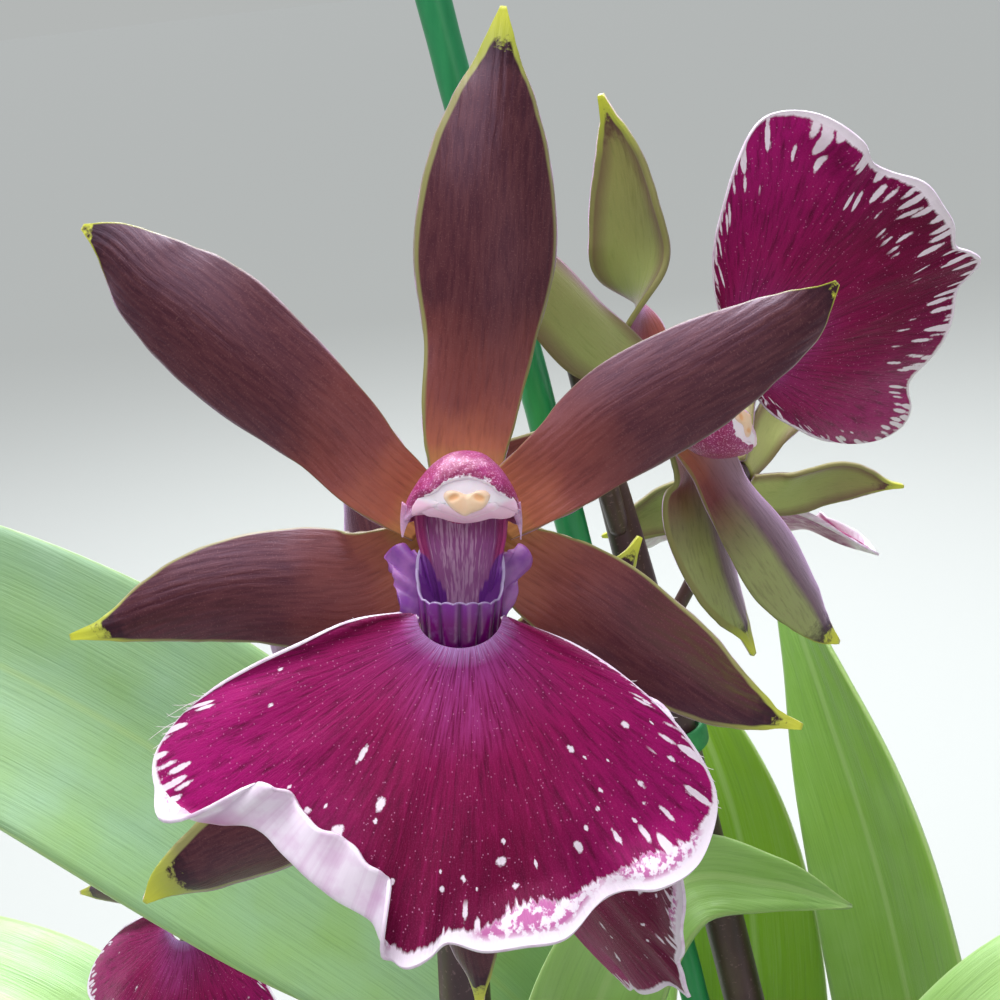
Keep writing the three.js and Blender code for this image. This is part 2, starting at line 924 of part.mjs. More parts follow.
// The claw that carries the lip from below the cup.
function makeClaw() {
  const path = new THREE.CatmullRomCurve3([
    vec(0, -7.9, -3.4),
    vec(0, -9.9, -0.6),
    vec(0, -12.4, 3.6),
    vec(0, -13.4, 8),
  ]);
  return rodSolid(path, (t) => mix(1.7, 2.8, t), 4, 7);
}

function makeLip({ detailed, lipLift = 0 }) {
  const grid = detailed ? lipGrid(5, lipOutline.length - 1, hem.rows) : lipGrid(3, 16, 1);
  const pivot = vec(0, -12.5, lipForm.foot);
  for (const p of grid.flat()) p.sub(pivot).applyAxisAngle(vec(1, 0, 0), -rad(lipLift)).add(pivot);
  const blade = bladeSolid(withNormals(grid), lipThickness);
  return blade.add(makeCrest(detailed ? 18 : 8)).add(makeEar(1)).add(makeEar(-1)).add(makeClaw());
}

// The column: a stout arched body with a wedge-shaped foot below it, and a hood over its tip.
const columnPath = [[0, -1.6, -1.2], [0, -0.8, 4], [0.2, 0.8, 9], [0.3, 1.8, 12.4]];
const columnWidth = [[0, 3.2], [0.4, 4.2], [0.75, 5.2], [1, 4.4]];
const columnRise = [[0, 2.6], [0.5, 3.4], [0.8, 4], [1, 3]];
const hood = {
  centre: [0.3, 1.6, 12],
  size: [6.1, 5.5, 4.6],
  recess: { centre: [0.3, 0.3, 15.6], size: [5.1, 4, 4] },
  mouth: { centre: [0.3, -6.2, 13], size: [5, 6.2, 8] },
};
const columnFoot = [
  { y: -0.6, half: 3.6, back: 0.4, front: 9 },
  { y: -3.6, half: 2.7, back: 0.8, front: 6.6 },
  { y: -7, half: 1.8, back: 1.6, front: 3.8 },
];

function egg({ centre, size }, grow, around, down) {
  const shell = new THREE.SphereGeometry(1, around, down);
  shell.scale(size[0] + grow, size[1] + grow, size[2] + grow).translate(...centre);
  return solidOf(shell);
}

function makeColumn(detailed) {
  const curve = new THREE.CatmullRomCurve3(columnPath.map((p) => vec(...p)));
  const steps = detailed ? 5 : 3;
  const sides = detailed ? 12 : 8;
  const rings = [];
  for (let s = 0; s <= steps; s += 1) {
    const t = s / steps;
    const ring = [];
    for (let i = 0; i < sides; i += 1) {
      const angle = (2 * Math.PI * i) / sides;
      const rise = Math.sin(angle) * along(columnRise, t) * (Math.sin(angle) > 0 ? 1 : 0.45);
      ring.push(curve.getPointAt(t).add(vec(Math.cos(angle) * along(columnWidth, t), rise, 0)));
    }
    rings.push(ring);
  }
  const wedge = columnFoot.map(({ y, half, back, front }) => [
    vec(-half, y, back),
    vec(-half, y, mix(back, front, 0.8)),
    vec(-half * 0.5, y, front),
    vec(half * 0.5, y, front),
    vec(half, y, mix(back, front, 0.8)),
    vec(half, y, back),
  ]);
  const body = loftSolid(rings).add(egg(hood, 0, detailed ? 14 : 9, detailed ? 8 : 5));
  if (!detailed) return body.add(loftSolid(wedge));
  const hollow = egg(hood.recess, 0, 12, 6).add(egg(hood.mouth, 0, 12, 6));
  return body.subtract(hollow).add(loftSolid(wedge));
}

// The anther cap under the hood's brow.
const cap = { centre: [0.5, 2.2, 12.9], size: [2.7, 1.5, 2] };

// The matrix that carries a bloom from its own frame to the part's.
function bloomMatrix(spec) {
  const out = vec(...spec.faces).normalize();
  const up = vec(...spec.up).addScaledVector(out, -vec(...spec.up).dot(out)).normalize();
  const size = spec.size ?? 1;
  return new THREE.Matrix4()
    .makeBasis(up.clone().cross(out), up, out)
    .scale(vec(size, size, size))
    .setPosition(vec(...spec.centre));
}

// The five tepals, the lip and the column of one bloom.
function makeBloom(spec) {
  const group = new THREE.Group();
  group.applyMatrix4(bloomMatrix(spec));
  const across = spec.detailed ? [-1, -0.5, 0, 0.5, 1] : [-1, 0, 1];
  for (const [name, tepal] of Object.entries(tepals)) {
    const blade = makeTepal(tepal, spec.poses?.[name] ?? {}, spec.detailed ? 11 : 7, across);
    addNode(group, `${spec.prefix}_${name}`, blade, colours.tepal, 0.4);
  }
  addNode(group, `${spec.prefix}_lip`, makeLip(spec), colours.lip, 0.5);
  let column = makeColumn(spec.detailed);
  if (spec.detailed) {
    column = column.subtract(egg(cap, gap, 12, 6));
    addNode(group, `${spec.prefix}_anther_cap`, egg(cap, 0, 12, 6), colours.anther, 0.4);
  }
  addNode(group, `${spec.prefix}_column`, column, colours.column, 0.4);
  return group;
}

// The stalk of one bloom, from inside the stem to the cup behind the tepals, in the part's frame.
function makeStalk(spec) {
  const matrix = bloomMatrix(spec);
  const local = (x, y, z) => vec(x, y, z).applyMatrix4(matrix);
  const size = spec.size ?? 1;
  const start = vec(...spec.joins);
  const behind = local(0, -1, -16);
  const bend = start.clone().lerp(behind, 0.5).add(vec(0, 0, -2));
  const path = new THREE.CatmullRomCurve3([start, bend, behind, local(0, -1, cupBack + 0.5)]);
  const radiusAt = (t) => size * mix(stalkRadius, ovaryRadius, smooth(0.35, 0.8, t));
  const cup = new THREE.CylinderGeometry(cupRadius, ovaryRadius, cupFront - cupBack, 10)
    .rotateX(Math.PI / 2)
    .translate(0, -1, (cupFront + cupBack) / 2)
    .applyMatrix4(matrix);
  return rodSolid(path, radiusAt, 6, 7).add(solidOf(cup));
}

function makeStem(spike, grow, sides) {
  return rodSolid(spikeCurve(spike), (t) => along(spike.radius, t) + grow, 11, sides);
}

function makeSpike(key) {
  const spike = spikes[key];
  const curve = spikeCurve(spike);
  let body = makeStem(spike, 0, 7);
  for (const t of spike.collars) {
    const half = collar.length / 2 / curve.getLength();
    const low = curve.getPointAt(t - half);
    const high = curve.getPointAt(t + half);
    const radius = along(spike.radius, t) + collar.spread;
    const wrap = new THREE.LineCurve3(low, high);
    body = body.add(rodSolid(wrap, (k) => radius + mix(-0.5, 0.4, k), 1, 8));
  }
  const own = Object.values(blooms).filter((spec) => spec.spike === key);
  return own.reduce((sum, spec) => sum.add(makeStalk(spec)), body);
}

// A soft plastic tie: a band with two eyes, one round the stake and one round the rear spike.
const tie = { height: 4, wall: 1.3, clearance: gap, levels: [262, 330] };

function makeTie(z) {
  const spike = spikes.rear;
  const curve = spikeCurve(spike);
  let t = 0;
  while (curve.getPointAt(t).z < z) t += 0.002;
  const from = stakePoint(z);
  const offset = curve.getPointAt(t).sub(from);
  const apart = offset.length();
  const stemRadius = along(spike.radius, t);
  const outline = (grow) => {
    const near = stake.radius + grow;
    const far = stemRadius + grow;
    const lean = Math.acos((near - far) / apart);
    const shape = new THREE.Shape();
    shape.absarc(0, 0, near, lean, 2 * Math.PI - lean, false);
    shape.absarc(apart, 0, far, -lean, lean, false);
    return shape;
  };
  const band = outline(tie.clearance + tie.wall);
  band.holes.push(outline(tie.clearance));
  const extrusion = { depth: tie.height, bevelEnabled: false, curveSegments: 5 };
  const slab = new THREE.ExtrudeGeometry(band, extrusion).translate(0, 0, -tie.height / 2);
  const along3 = stakePoint(z + 1).sub(from).normalize();
  const across3 = offset.clone().addScaledVector(along3, -offset.dot(along3)).normalize();
  const basis = new THREE.Matrix4().makeBasis(across3, along3.clone().cross(across3), along3);
  return solidOf(slab.applyMatrix4(basis.setPosition(from)));
}

// Assembly.
const widerBulbs = bulbs.map((spec) => makeBulb(spec, gap));
const widerLeaves = leaves.map((spec) => makeLeaf(spec, gap));
const widerStems = Object.values(spikes).map((spike) => makeStem(spike, gap, 7));
const widerStake = makeStake(stake.radius + gap, stake.foot - gap, stake.head);

addNode(root, "pot", makePot(), colours.pot, 0.45);
const sockets = [...widerBulbs, ...widerLeaves, ...widerStems, widerStake];
addNode(root, "bark_mix", makeBark(sockets), colours.bark, 0.9);
bulbs.forEach((spec) => addNode(root, spec.name, makeBulb(spec), colours.bulb, 0.45));
for (const spec of leaves) {
  const blade = widerBulbs.reduce((left, bulb) => left.subtract(bulb), makeLeaf(spec));
  addNode(root, spec.name, blade, colours.leaf, 0.4);
}
addNode(root, "stake", makeStake(stake.radius, stake.foot, stake.head), colours.stake, 0.35);
tie.levels.forEach((z, i) => addNode(root, `tie_${i + 1}`, makeTie(z), colours.tie, 0.5));
for (const key of Object.keys(spikes)) {
  addNode(root, `${key}_spike`, makeSpike(key), colours.spike, 0.45);
}
Object.values(blooms).forEach((spec) => root.add(makeBloom(spec)));

export default root;
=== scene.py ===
import math
import random

import bpy
import numpy as np
from mathutils import Matrix, Vector


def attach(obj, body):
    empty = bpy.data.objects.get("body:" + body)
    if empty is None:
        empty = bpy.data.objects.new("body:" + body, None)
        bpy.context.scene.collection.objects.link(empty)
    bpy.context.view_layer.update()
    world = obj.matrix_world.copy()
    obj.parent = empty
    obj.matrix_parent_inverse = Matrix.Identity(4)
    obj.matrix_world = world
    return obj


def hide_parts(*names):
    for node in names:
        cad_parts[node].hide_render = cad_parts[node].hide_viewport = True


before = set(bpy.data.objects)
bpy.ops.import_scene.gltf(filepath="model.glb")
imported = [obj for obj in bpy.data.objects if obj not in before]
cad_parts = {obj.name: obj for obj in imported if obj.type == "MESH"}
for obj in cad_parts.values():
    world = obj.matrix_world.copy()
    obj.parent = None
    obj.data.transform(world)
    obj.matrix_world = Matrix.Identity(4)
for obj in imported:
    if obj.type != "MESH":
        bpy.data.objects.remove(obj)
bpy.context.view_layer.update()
mm = 0.001


def hexColour(text):
    # sRGB hex to linear, with alpha
    parts = [int(text[i:i + 2], 16) / 255 for i in (1, 3, 5)]
    return [c / 12.92 if c <= 0.04045 else ((c + 0.055) / 1.055) ** 2.4 for c in parts] + [1.0]


def addNode(tree, kind, settings=None, links=None):
    # settings that start with a capital or a number are sockets, the rest are the node's own
    node = tree.nodes.new(kind)
    for key, value in (settings or {}).items():
        if key == "stops":
            ramp = node.color_ramp
            while len(ramp.elements) < len(value):
                ramp.elements.new(0.5)
            for element, (place, colour) in zip(ramp.elements, value):
                element.position = place
                element.color = hexColour(colour)
        elif isinstance(key, int) or key[0].isupper():
            node.inputs[key].default_value = value
        else:
            setattr(node, key, value)
    for key, source in (links or {}).items():
        tree.links.new(source, node.inputs[key])
    return node


class layeredPaint:
    # one material, whose colour is laid layer on layer; values are numbers or other nodes' outputs
    def __init__(self, name):
        self.material = bpy.data.materials.new(name)
        self.material.use_nodes = True
        self.tree = self.material.node_tree
        self.tree.nodes.clear()
        output = addNode(self.tree, "ShaderNodeOutputMaterial")
        self.shader = addNode(self.tree, "ShaderNodeBsdfPrincipled")
        self.tree.links.new(self.shader.outputs[0], output.inputs[0])

    def add(self, kind, settings, values=(), out=0):
        settings, links = dict(settings), {}
        for socket, value in enumerate(values):
            (settings if isinstance(value, (int, float)) else links)[socket] = value
        return addNode(self.tree, "ShaderNode" + kind, settings, links).outputs[out]

    def read(self, *names):
        return [self.add("Attribute", {"attribute_name": name}, out="Fac") for name in names]

    def placeIn(self, space):
        return self.add("TexCoord", {}, out=space)

    def math(self, operation, *values, clamp=False):
        return self.add("Math", {"operation": operation, "use_clamp": clamp}, values)

    def plus(self, first, second):
        return self.math("ADD", first, second)

    def times(self, first, *others):
        for other in others:
            first = self.math("MULTIPLY", first, other)
        return first

    def step(self, value, start, end, most=1.0):
        # grows evenly from nothing at the start to the most at the end
        return self.add("MapRange", {"From Min": start, "From Max": end, "To Max": most}, [value])

    def combine(self, *values):
        return self.add("CombineXYZ", {}, values)

    def noise(self, place, scale, detail=2, roughness=0.5):
        return self.add("TexNoise", {"Scale": scale, "Detail": detail, "Roughness": roughness}, [place])

    def cells(self, place, scale, randomness):
        return self.add("TexVoronoi", {"Scale": scale, "Randomness": randomness}, [place])

    def ramp(self, value, stops):
        return self.add("ValToRGB", {"stops": stops}, [value])

    def plain(self, tint):
        colour = self.add("RGB", {})
        colour.default_value = hexColour(tint)
        return colour

    def lay(self, tint, share):
        # a colour, plain or from a node, over all that is there; a later layer moves the link
        settings = {"data_type": "RGBA"}
        links = {6: self.colour}
        (settings if isinstance(share, float) else links)[0] = share
        (settings if isinstance(tint, str) else links)[7] = hexColour(tint) if isinstance(tint, str) else tint
        self.colour = addNode(self.tree, "ShaderNodeMix", settings, links).outputs[2]
        self.tree.links.new(self.colour, self.shader.inputs["Base Color"])

    def finish(self, roughness, sockets, height=None, distance=0, strength=1):
        # sockets of the shader by name, and a bump in millimetres
        self.tree.links.new(self.colour, self.shader.inputs["Base Color"])
        self.shader.inputs["Roughness"].default_value = roughness
        for key, value in sockets.items():
            self.shader.inputs[key].default_value = hexColour(value) if isinstance(value, str) else value
        if height:
            bump = addNode(self.tree, "ShaderNodeBump", {"Strength": strength, "Distance": distance * mm},
                           {"Height": height})
            self.tree.links.new(bump.outputs[0], self.shader.inputs["Normal"])
        return self


def smooth(low, high, x):
    t = np.clip((np.asarray(x, float) - low) / (high - low), 0, 1)
    return t * t * (3 - 2 * t)


def mix(a, b, t):
    return a + (b - a) * t


def unit(v):
    return v / np.maximum(np.linalg.norm(v, axis=-1, keepdims=True), 1e-12)


def rotated(v, axis, angle):
    # vectors turned about unit axes by an angle in radians
    c, s = np.cos(angle), np.sin(angle)
    c, s = np.reshape(c, (-1, 1)), np.reshape(s, (-1, 1))
    v, axis = np.atleast_2d(v), np.atleast_2d(axis)
    dot = np.sum(v * axis, -1, keepdims=True)
    return v * c + np.cross(np.broadcast_to(axis, v.shape), v) * s + axis * dot * (1 - c)


def along(pairs, t):
    # smooth value through [place, value] pairs
    pairs = np.asarray(pairs, float)
    t = np.asarray(t, float)
    place, value = pairs[:, 0], pairs[:, 1]
    i = np.clip(np.searchsorted(place, t, side="left") - 1, 0, len(place) - 2)
    last = len(place) - 1
    i0, i3 = np.maximum(i - 1, 0), np.minimum(i + 2, last)
    span = place[i + 1] - place[i]
    k = (t - place[i]) / span
    m1 = (value[i + 1] - value[i0]) / (place[i + 1] - place[i0]) * span
    m2 = (value[i3] - value[i]) / (place[i3] - place[i]) * span
    k2, k3 = k * k, k * k * k
    ends = (2 * k3 - 3 * k2 + 1) * value[i] + (3 * k2 - 2 * k3) * value[i + 1]
    return ends + (k3 - 2 * k2 + k) * m1 + (k3 - k2) * m2


class smoothLine:
    # centripetal curve through points, sampled finely and read by length
    def __init__(self, points):
        p = np.asarray(points, float)
        self.count = len(p)
        wide = np.vstack([2 * p[0] - p[1], p, 2 * p[-1] - p[-2]])
        self.wide = wide
        self.fine = self.byIndex(np.linspace(0, 1, 601))
        steps = np.linalg.norm(np.diff(self.fine, axis=0), axis=1)
        self.reach = np.concatenate([[0], np.cumsum(steps)])
        self.length = self.reach[-1]

    def byIndex(self, t):
        # even steps from point to point
        spot = np.clip(np.asarray(t, float), 0, 1) * (self.count - 1)
        i = np.clip(np.floor(spot).astype(int), 0, self.count - 2)
        k = (spot - i)[:, None]
        a, b, c, d = (self.wide[i + n] for n in range(4))
        gaps = [np.sum((q - p) ** 2, -1, keepdims=True) ** 0.25 for p, q in ((a, b), (b, c), (c, d))]
        g0, g1, g2 = (np.maximum(g, 1e-4) for g in gaps)
        m1 = ((b - a) / g0 - (c - a) / (g0 + g1) + (c - b) / g1) * g1
        m2 = ((c - b) / g1 - (d - b) / (g1 + g2) + (d - c) / g2) * g1
        k2, k3 = k * k, k * k * k
        ends = (2 * k3 - 3 * k2 + 1) * b + (3 * k2 - 2 * k3) * c
        return ends + (k3 - 2 * k2 + k) * m1 + (k3 - k2) * m2

    def at(self, t):
        want = np.clip(np.asarray(t, float), 0, 1) * self.length
        return np.stack([np.interp(want, self.reach, self.fine[:, n]) for n in range(3)], -1)

    def heading(self, t):
        t = np.asarray(t, float)
        return unit(self.at(np.minimum(t + 0.004, 1)) - self.at(np.maximum(t - 0.004, 0)))


def deselectAll():
    if bpy.context.object and bpy.context.object.mode != "OBJECT":
        bpy.ops.object.mode_set(mode="OBJECT")
    bpy.ops.object.select_all(action="DESELECT")


def makeActive(piece):
    deselectAll()
    piece.select_set(True)
    bpy.context.view_layer.objects.active = piece


def applyModifier(piece, name, kind, **settings):
    makeActive(piece)
    if "material_offset" in settings:  # room for the finish of the back
        piece.data.materials.append(None)
        piece.data.materials.append(None)
    modifier = piece.modifiers.new(name, kind)
    for key, value in settings.items():
        setattr(modifier, key, value)
    bpy.ops.object.modifier_apply(modifier=modifier.name)


def writeField(piece, name, values):
    # a number at each point, which a material reads by its name
    layer = piece.data.attributes.new(name, "FLOAT", "POINT")
    layer.data.foreach_set("value", np.asarray(values, np.float32))


def carry(matrix, p):
    # from a bloom's own frame to the plant's
    return np.asarray(p, float) @ matrix[:3, :3].T + matrix[:3, 3]


def pointsOf(piece):
    places = np.zeros(len(piece.data.vertices) * 3)
    piece.data.vertices.foreach_get("co", places)
    return places.reshape(-1, 3)


def movePoints(piece, places):
    # to places in millimetres
    piece.data.vertices.foreach_set("co", (places * mm).ravel())
    piece.data.update()


def shapedGrid(name, columns, rows, surface, matrix=None, fine=1):
    # a flat grid bent over a surface: surface(u, v) gives points in millimetres and named fields
    deselectAll()
    bpy.ops.mesh.primitive_grid_add(x_subdivisions=int(columns * fine), y_subdivisions=int(rows * fine), size=2)
    piece = bpy.context.object
    piece.name = name
    u, v = (pointsOf(piece)[:, :2].T + 1) / 2
    places, fields = surface(u, v)
    movePoints(piece, places if matrix is None else carry(matrix, places))
    for key, values in fields.items():
        writeField(piece, key, np.broadcast_to(values, u.shape))
    return piece


def editMesh(piece, tool, **settings):
    makeActive(piece)
    bpy.ops.object.mode_set(mode="EDIT")
    bpy.ops.mesh.select_all(action="SELECT")
    tool(**settings)
    bpy.ops.object.mode_set(mode="OBJECT")


def closeSeam(piece, distance=0.02):
    editMesh(piece, bpy.ops.mesh.remove_doubles, threshold=distance * mm)


def outwardFaces(piece):
    editMesh(piece, bpy.ops.mesh.normals_make_consistent, inside=False)


def closedGrid(name, columns, rows, surface, matrix=None, fine=1, distance=0.02):
    # a grid whose edges meet, with its faces turned outwards
    piece = shapedGrid(name, columns, rows, surface, matrix, fine)
    closeSeam(piece, distance)
    outwardFaces(piece)
    return piece


def thicken(piece, thickness, offset=0, **settings):
    applyModifier(piece, "thickness", "SOLIDIFY", thickness=thickness * mm, offset=offset, **settings)


def endRound(v, share):
    # 0 at both ends of v and 1 between, round over a share of it
    return np.sqrt(np.clip(1 - (1 - np.minimum(np.minimum(v, 1 - v) / share, 1)) ** 2, 0, 1))


def inner(v, share):
    # v without the share of it at each end
    return np.clip((v - share) / (1 - 2 * share), 0, 1)


def smoothShade(piece, angle=None):
    makeActive(piece)
    if angle is None:
        bpy.ops.object.shade_smooth()
    else:
        bpy.ops.object.shade_smooth_by_angle(angle=math.radians(angle))


def joined(name, pieces):
    deselectAll()
    for piece in pieces:
        piece.select_set(True)
    bpy.context.view_layer.objects.active = pieces[0]
    if len(pieces) > 1:
        bpy.ops.object.join()
    pieces[0].name = name
    return pieces[0]


def finishPiece(piece, name, node, slot, *paints):
    # name it, give it its finish, hang it on the root body and hide the part of model.glb that it stands in for
    piece.name = name
    for number, paint in enumerate(paints):
        if number < len(piece.data.materials):
            piece.data.materials[number] = paint.material
        else:
            piece.data.materials.append(paint.material)
    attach(piece, "root")
    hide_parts(node)
    return piece


# where the photograph was taken from, in millimetres, and the way it looks
viewpoint = {"place": (4.42, -199.8, 456.3), "right": (0.9936, -0.0387, -0.1064),
             "up": (0.1132, 0.3398, 0.9337), "lens": 52.4, "sensor": 36}

camera = bpy.data.objects.new("camera", bpy.data.cameras.new("camera"))
bpy.context.collection.objects.link(camera)
camera.data.lens = viewpoint["lens"]
camera.data.sensor_width = viewpoint["sensor"]
camera.data.clip_start = 0.01
camera.data.clip_end = 50
right = Vector(viewpoint["right"]).normalized()
up = Vector(viewpoint["up"])
up = (up - up.dot(right) * right).normalized()
back = right.cross(up)
turnMatrix = Matrix((right, up, back)).transposed().to_4x4()
camera.matrix_world = Matrix.Translation(Vector(viewpoint["place"]) * mm) @ turnMatrix
bpy.context.scene.camera = camera
bpy.context.scene.view_settings.view_transform = "Standard"

studio = {"floorSize": 90, "floorColour": "#a6a8a4", "worldColour": "#dfe4ea", "worldStrength": 0.42,
          "wallColour": "#b4b7b6", "floorRoughness": 0.85}

deselectAll()
bpy.ops.mesh.primitive_plane_add(size=studio["floorSize"], location=(0, 0, -0.0002))
floor = bpy.context.object
floor.name = "floor"
floorPaint = layeredPaint("pale matt floor")
floorPaint.shader.inputs["Base Color"].default_value = hexColour(studio["floorColour"])
floorPaint.shader.inputs["Roughness"].default_value = studio["floorRoughness"]
floor.data.materials.append(floorPaint.material)

world = bpy.data.worlds.new("studio")
world.use_nodes = True
skyTree = world.node_tree
skyTree.nodes["Background"].inputs[0].default_value = hexColour(studio["worldColour"])
skyTree.nodes["Background"].inputs[1].default_value = studio["worldStrength"]
# the camera sees the far wall in the floor's own tone
wall = addNode(skyTree, "ShaderNodeBackground", {"Color": hexColour(studio["wallColour"])})
seen = addNode(skyTree, "ShaderNodeLightPath").outputs["Is Camera Ray"]
room = addNode(skyTree, "ShaderNodeMixShader", {}, {0: seen, 1: skyTree.nodes["Background"].outputs[0],
                                                    2: wall.outputs[0]})
skyTree.links.new(room.outputs[0], skyTree.nodes["World Output"].inputs[0])
bpy.context.scene.world = world

# soft panels: a wide one overhead, one behind and above for the sheen, a weak one by the camera;
# and a broad, soft skylight from above and a little behind, which reaches the whole floor
lamps = [
    {"name": "overhead", "place": (-0.25, -0.35, 1.35), "aim": (0, -0.02, 0.38), "size": 1.1,
     "power": 7, "colour": "#ffffff"},
    {"name": "behind", "place": (0.1, 0.85, 1.15), "aim": (0, -0.03, 0.39), "size": 1.0,
     "power": 24, "colour": "#f4f8ff"},
    {"name": "front", "place": (0.5, -1.2, 0.75), "aim": (0, 0, 0.3), "size": 0.9,
     "power": 2.0, "colour": "#fff8ee"},
    {"name": "skylight", "place": (0, 0, 0), "aim": (0.18, -0.42, -1), "sunAngle": 50,
     "power": 2.8, "colour": "#fbfcff"},
]
for lamp in lamps:
    light = bpy.data.lights.new(lamp["name"], "SUN" if "sunAngle" in lamp else "AREA")
    if "sunAngle" in lamp:
        light.angle = math.radians(lamp["sunAngle"])
    else:
        light.shape = "DISK"
        light.size = lamp["size"]
    light.energy = lamp["power"]
    light.color = hexColour(lamp["colour"])[:3]
    holder = bpy.data.objects.new(lamp["name"], light)
    bpy.context.collection.objects.link(holder)
    holder.location = lamp["place"]
    aim = Vector(lamp["aim"]) - Vector(lamp["place"])
    holder.rotation_euler = aim.to_track_quat("-Z", "Y").to_euler()
print("camera, floor and lamps ready")


# fields written on each piece are in millimetres, so that a pattern's scale below is a real one
def makeTepalPaint(name, face):
    # orchid tepal: waxy living tissue, fine veins run lengthwise under a satin skin
    p = layeredPaint(name)
    acrossMm, alongMm, alongT, tipMm, edgeMm, tipYellow, marginMm, olive, seed, acrossT, halfGreenWithSheen = p.read(
        "acrossMm", "alongMm", "alongT", "tipMm", "edgeMm", "tipYellow", "marginMm", "olive", "seed", "acrossT",
        "green")
    flat = p.combine(acrossMm, alongMm, seed)
    grain = p.noise(p.combine(acrossMm, p.times(alongMm, 0.11), seed), 2.4, 5, 0.62)
    place = p.plus(alongT, p.math("MULTIPLY_ADD", p.noise(flat, 0.17, 3), 0.16, -0.08))
    if face:
        stops = [(0.0, "#c99050"), (0.08, "#b4684a"), (0.2, "#84443a"), (0.4, "#52262a"), (0.75, "#441c22"),
                 (1.0, "#36141a")]
    else:
        stops = [(0.0, "#b4be72"), (0.3, "#a6b268"), (0.6, "#96985a"), (0.85, "#9c9858"), (1.0, "#b4be64")]
    p.colour = p.ramp(place, stops)
    p.lay("#83504c" if face else "#8a8a50", p.step(grain, 0.42, 0.75, 0.3))
    # a half-green tepal: green on the outer part of one side, with a painted lilac sheen over the rest
    paintedLilacSheen = p.step(acrossT, 0.6, -0.4, 0.55)
    green = p.times(p.step(acrossT, -0.05, 0.2, 0.9), p.step(alongMm, 12, 24))
    p.lay("#a892a4", p.times(paintedLilacSheen, halfGreenWithSheen))
    p.lay("#a0aa6a", p.times(green, halfGreenWithSheen))
    p.lay("#35131a" if face else "#6f7f3c", p.step(grain, 0.5, 0.28, 0.32))
    p.lay("#a0706a" if face else "#b0b878", p.step(p.noise(flat, 5.5), 0.58, 0.72, 0.2))
    # an olive streak beside the midrib of some
    p.lay("#6d6430", p.times(p.step(acrossT, 0.2, -0.3), p.step(alongT, 0.35, 0.75), olive,
                             p.step(grain, 0.62, 0.2, 0.75)))
    if not face:  # maroon shows through towards the margins of the back
        p.lay("#6a3c3e", p.step(edgeMm, 2.4, 0.6, 0.6))
    # yellow-green margin and tip with a ragged inner edge, and a near-black patch below the tip
    margin = p.math("SUBTRACT", p.times(p.plus(alongT, 0.35), marginMm), edgeMm)
    margin = p.math("MULTIPLY_ADD", margin, 4.0, 0.25)
    tear = p.math("MULTIPLY_ADD", p.noise(flat, 0.9, 5, 0.65), 7.0, -3.5)
    tip = p.plus(p.math("SUBTRACT", tipYellow, tipMm), tear)
    p.lay("#260a10" if face else "#5a3430", p.step(tip, -3.2, -0.6, 0.85))
    yellow = p.ramp(p.step(tipMm, 9.0, 1.0), [(0, "#8f8c54"), (0.6, "#b4bc48"), (1, "#d6da44")])
    p.lay(yellow, p.math("MAXIMUM", margin, tip, clamp=True))
    return p.finish(0.36 if face else 0.5, {
        "Specular IOR Level": 0.42, "Specular Tint": "#eccdf2", "Sheen Weight": 0.75, "Sheen Tint": "#d2a8e0",
        "Sheen Roughness": 0.35}, grain, 0.12, 0.7)


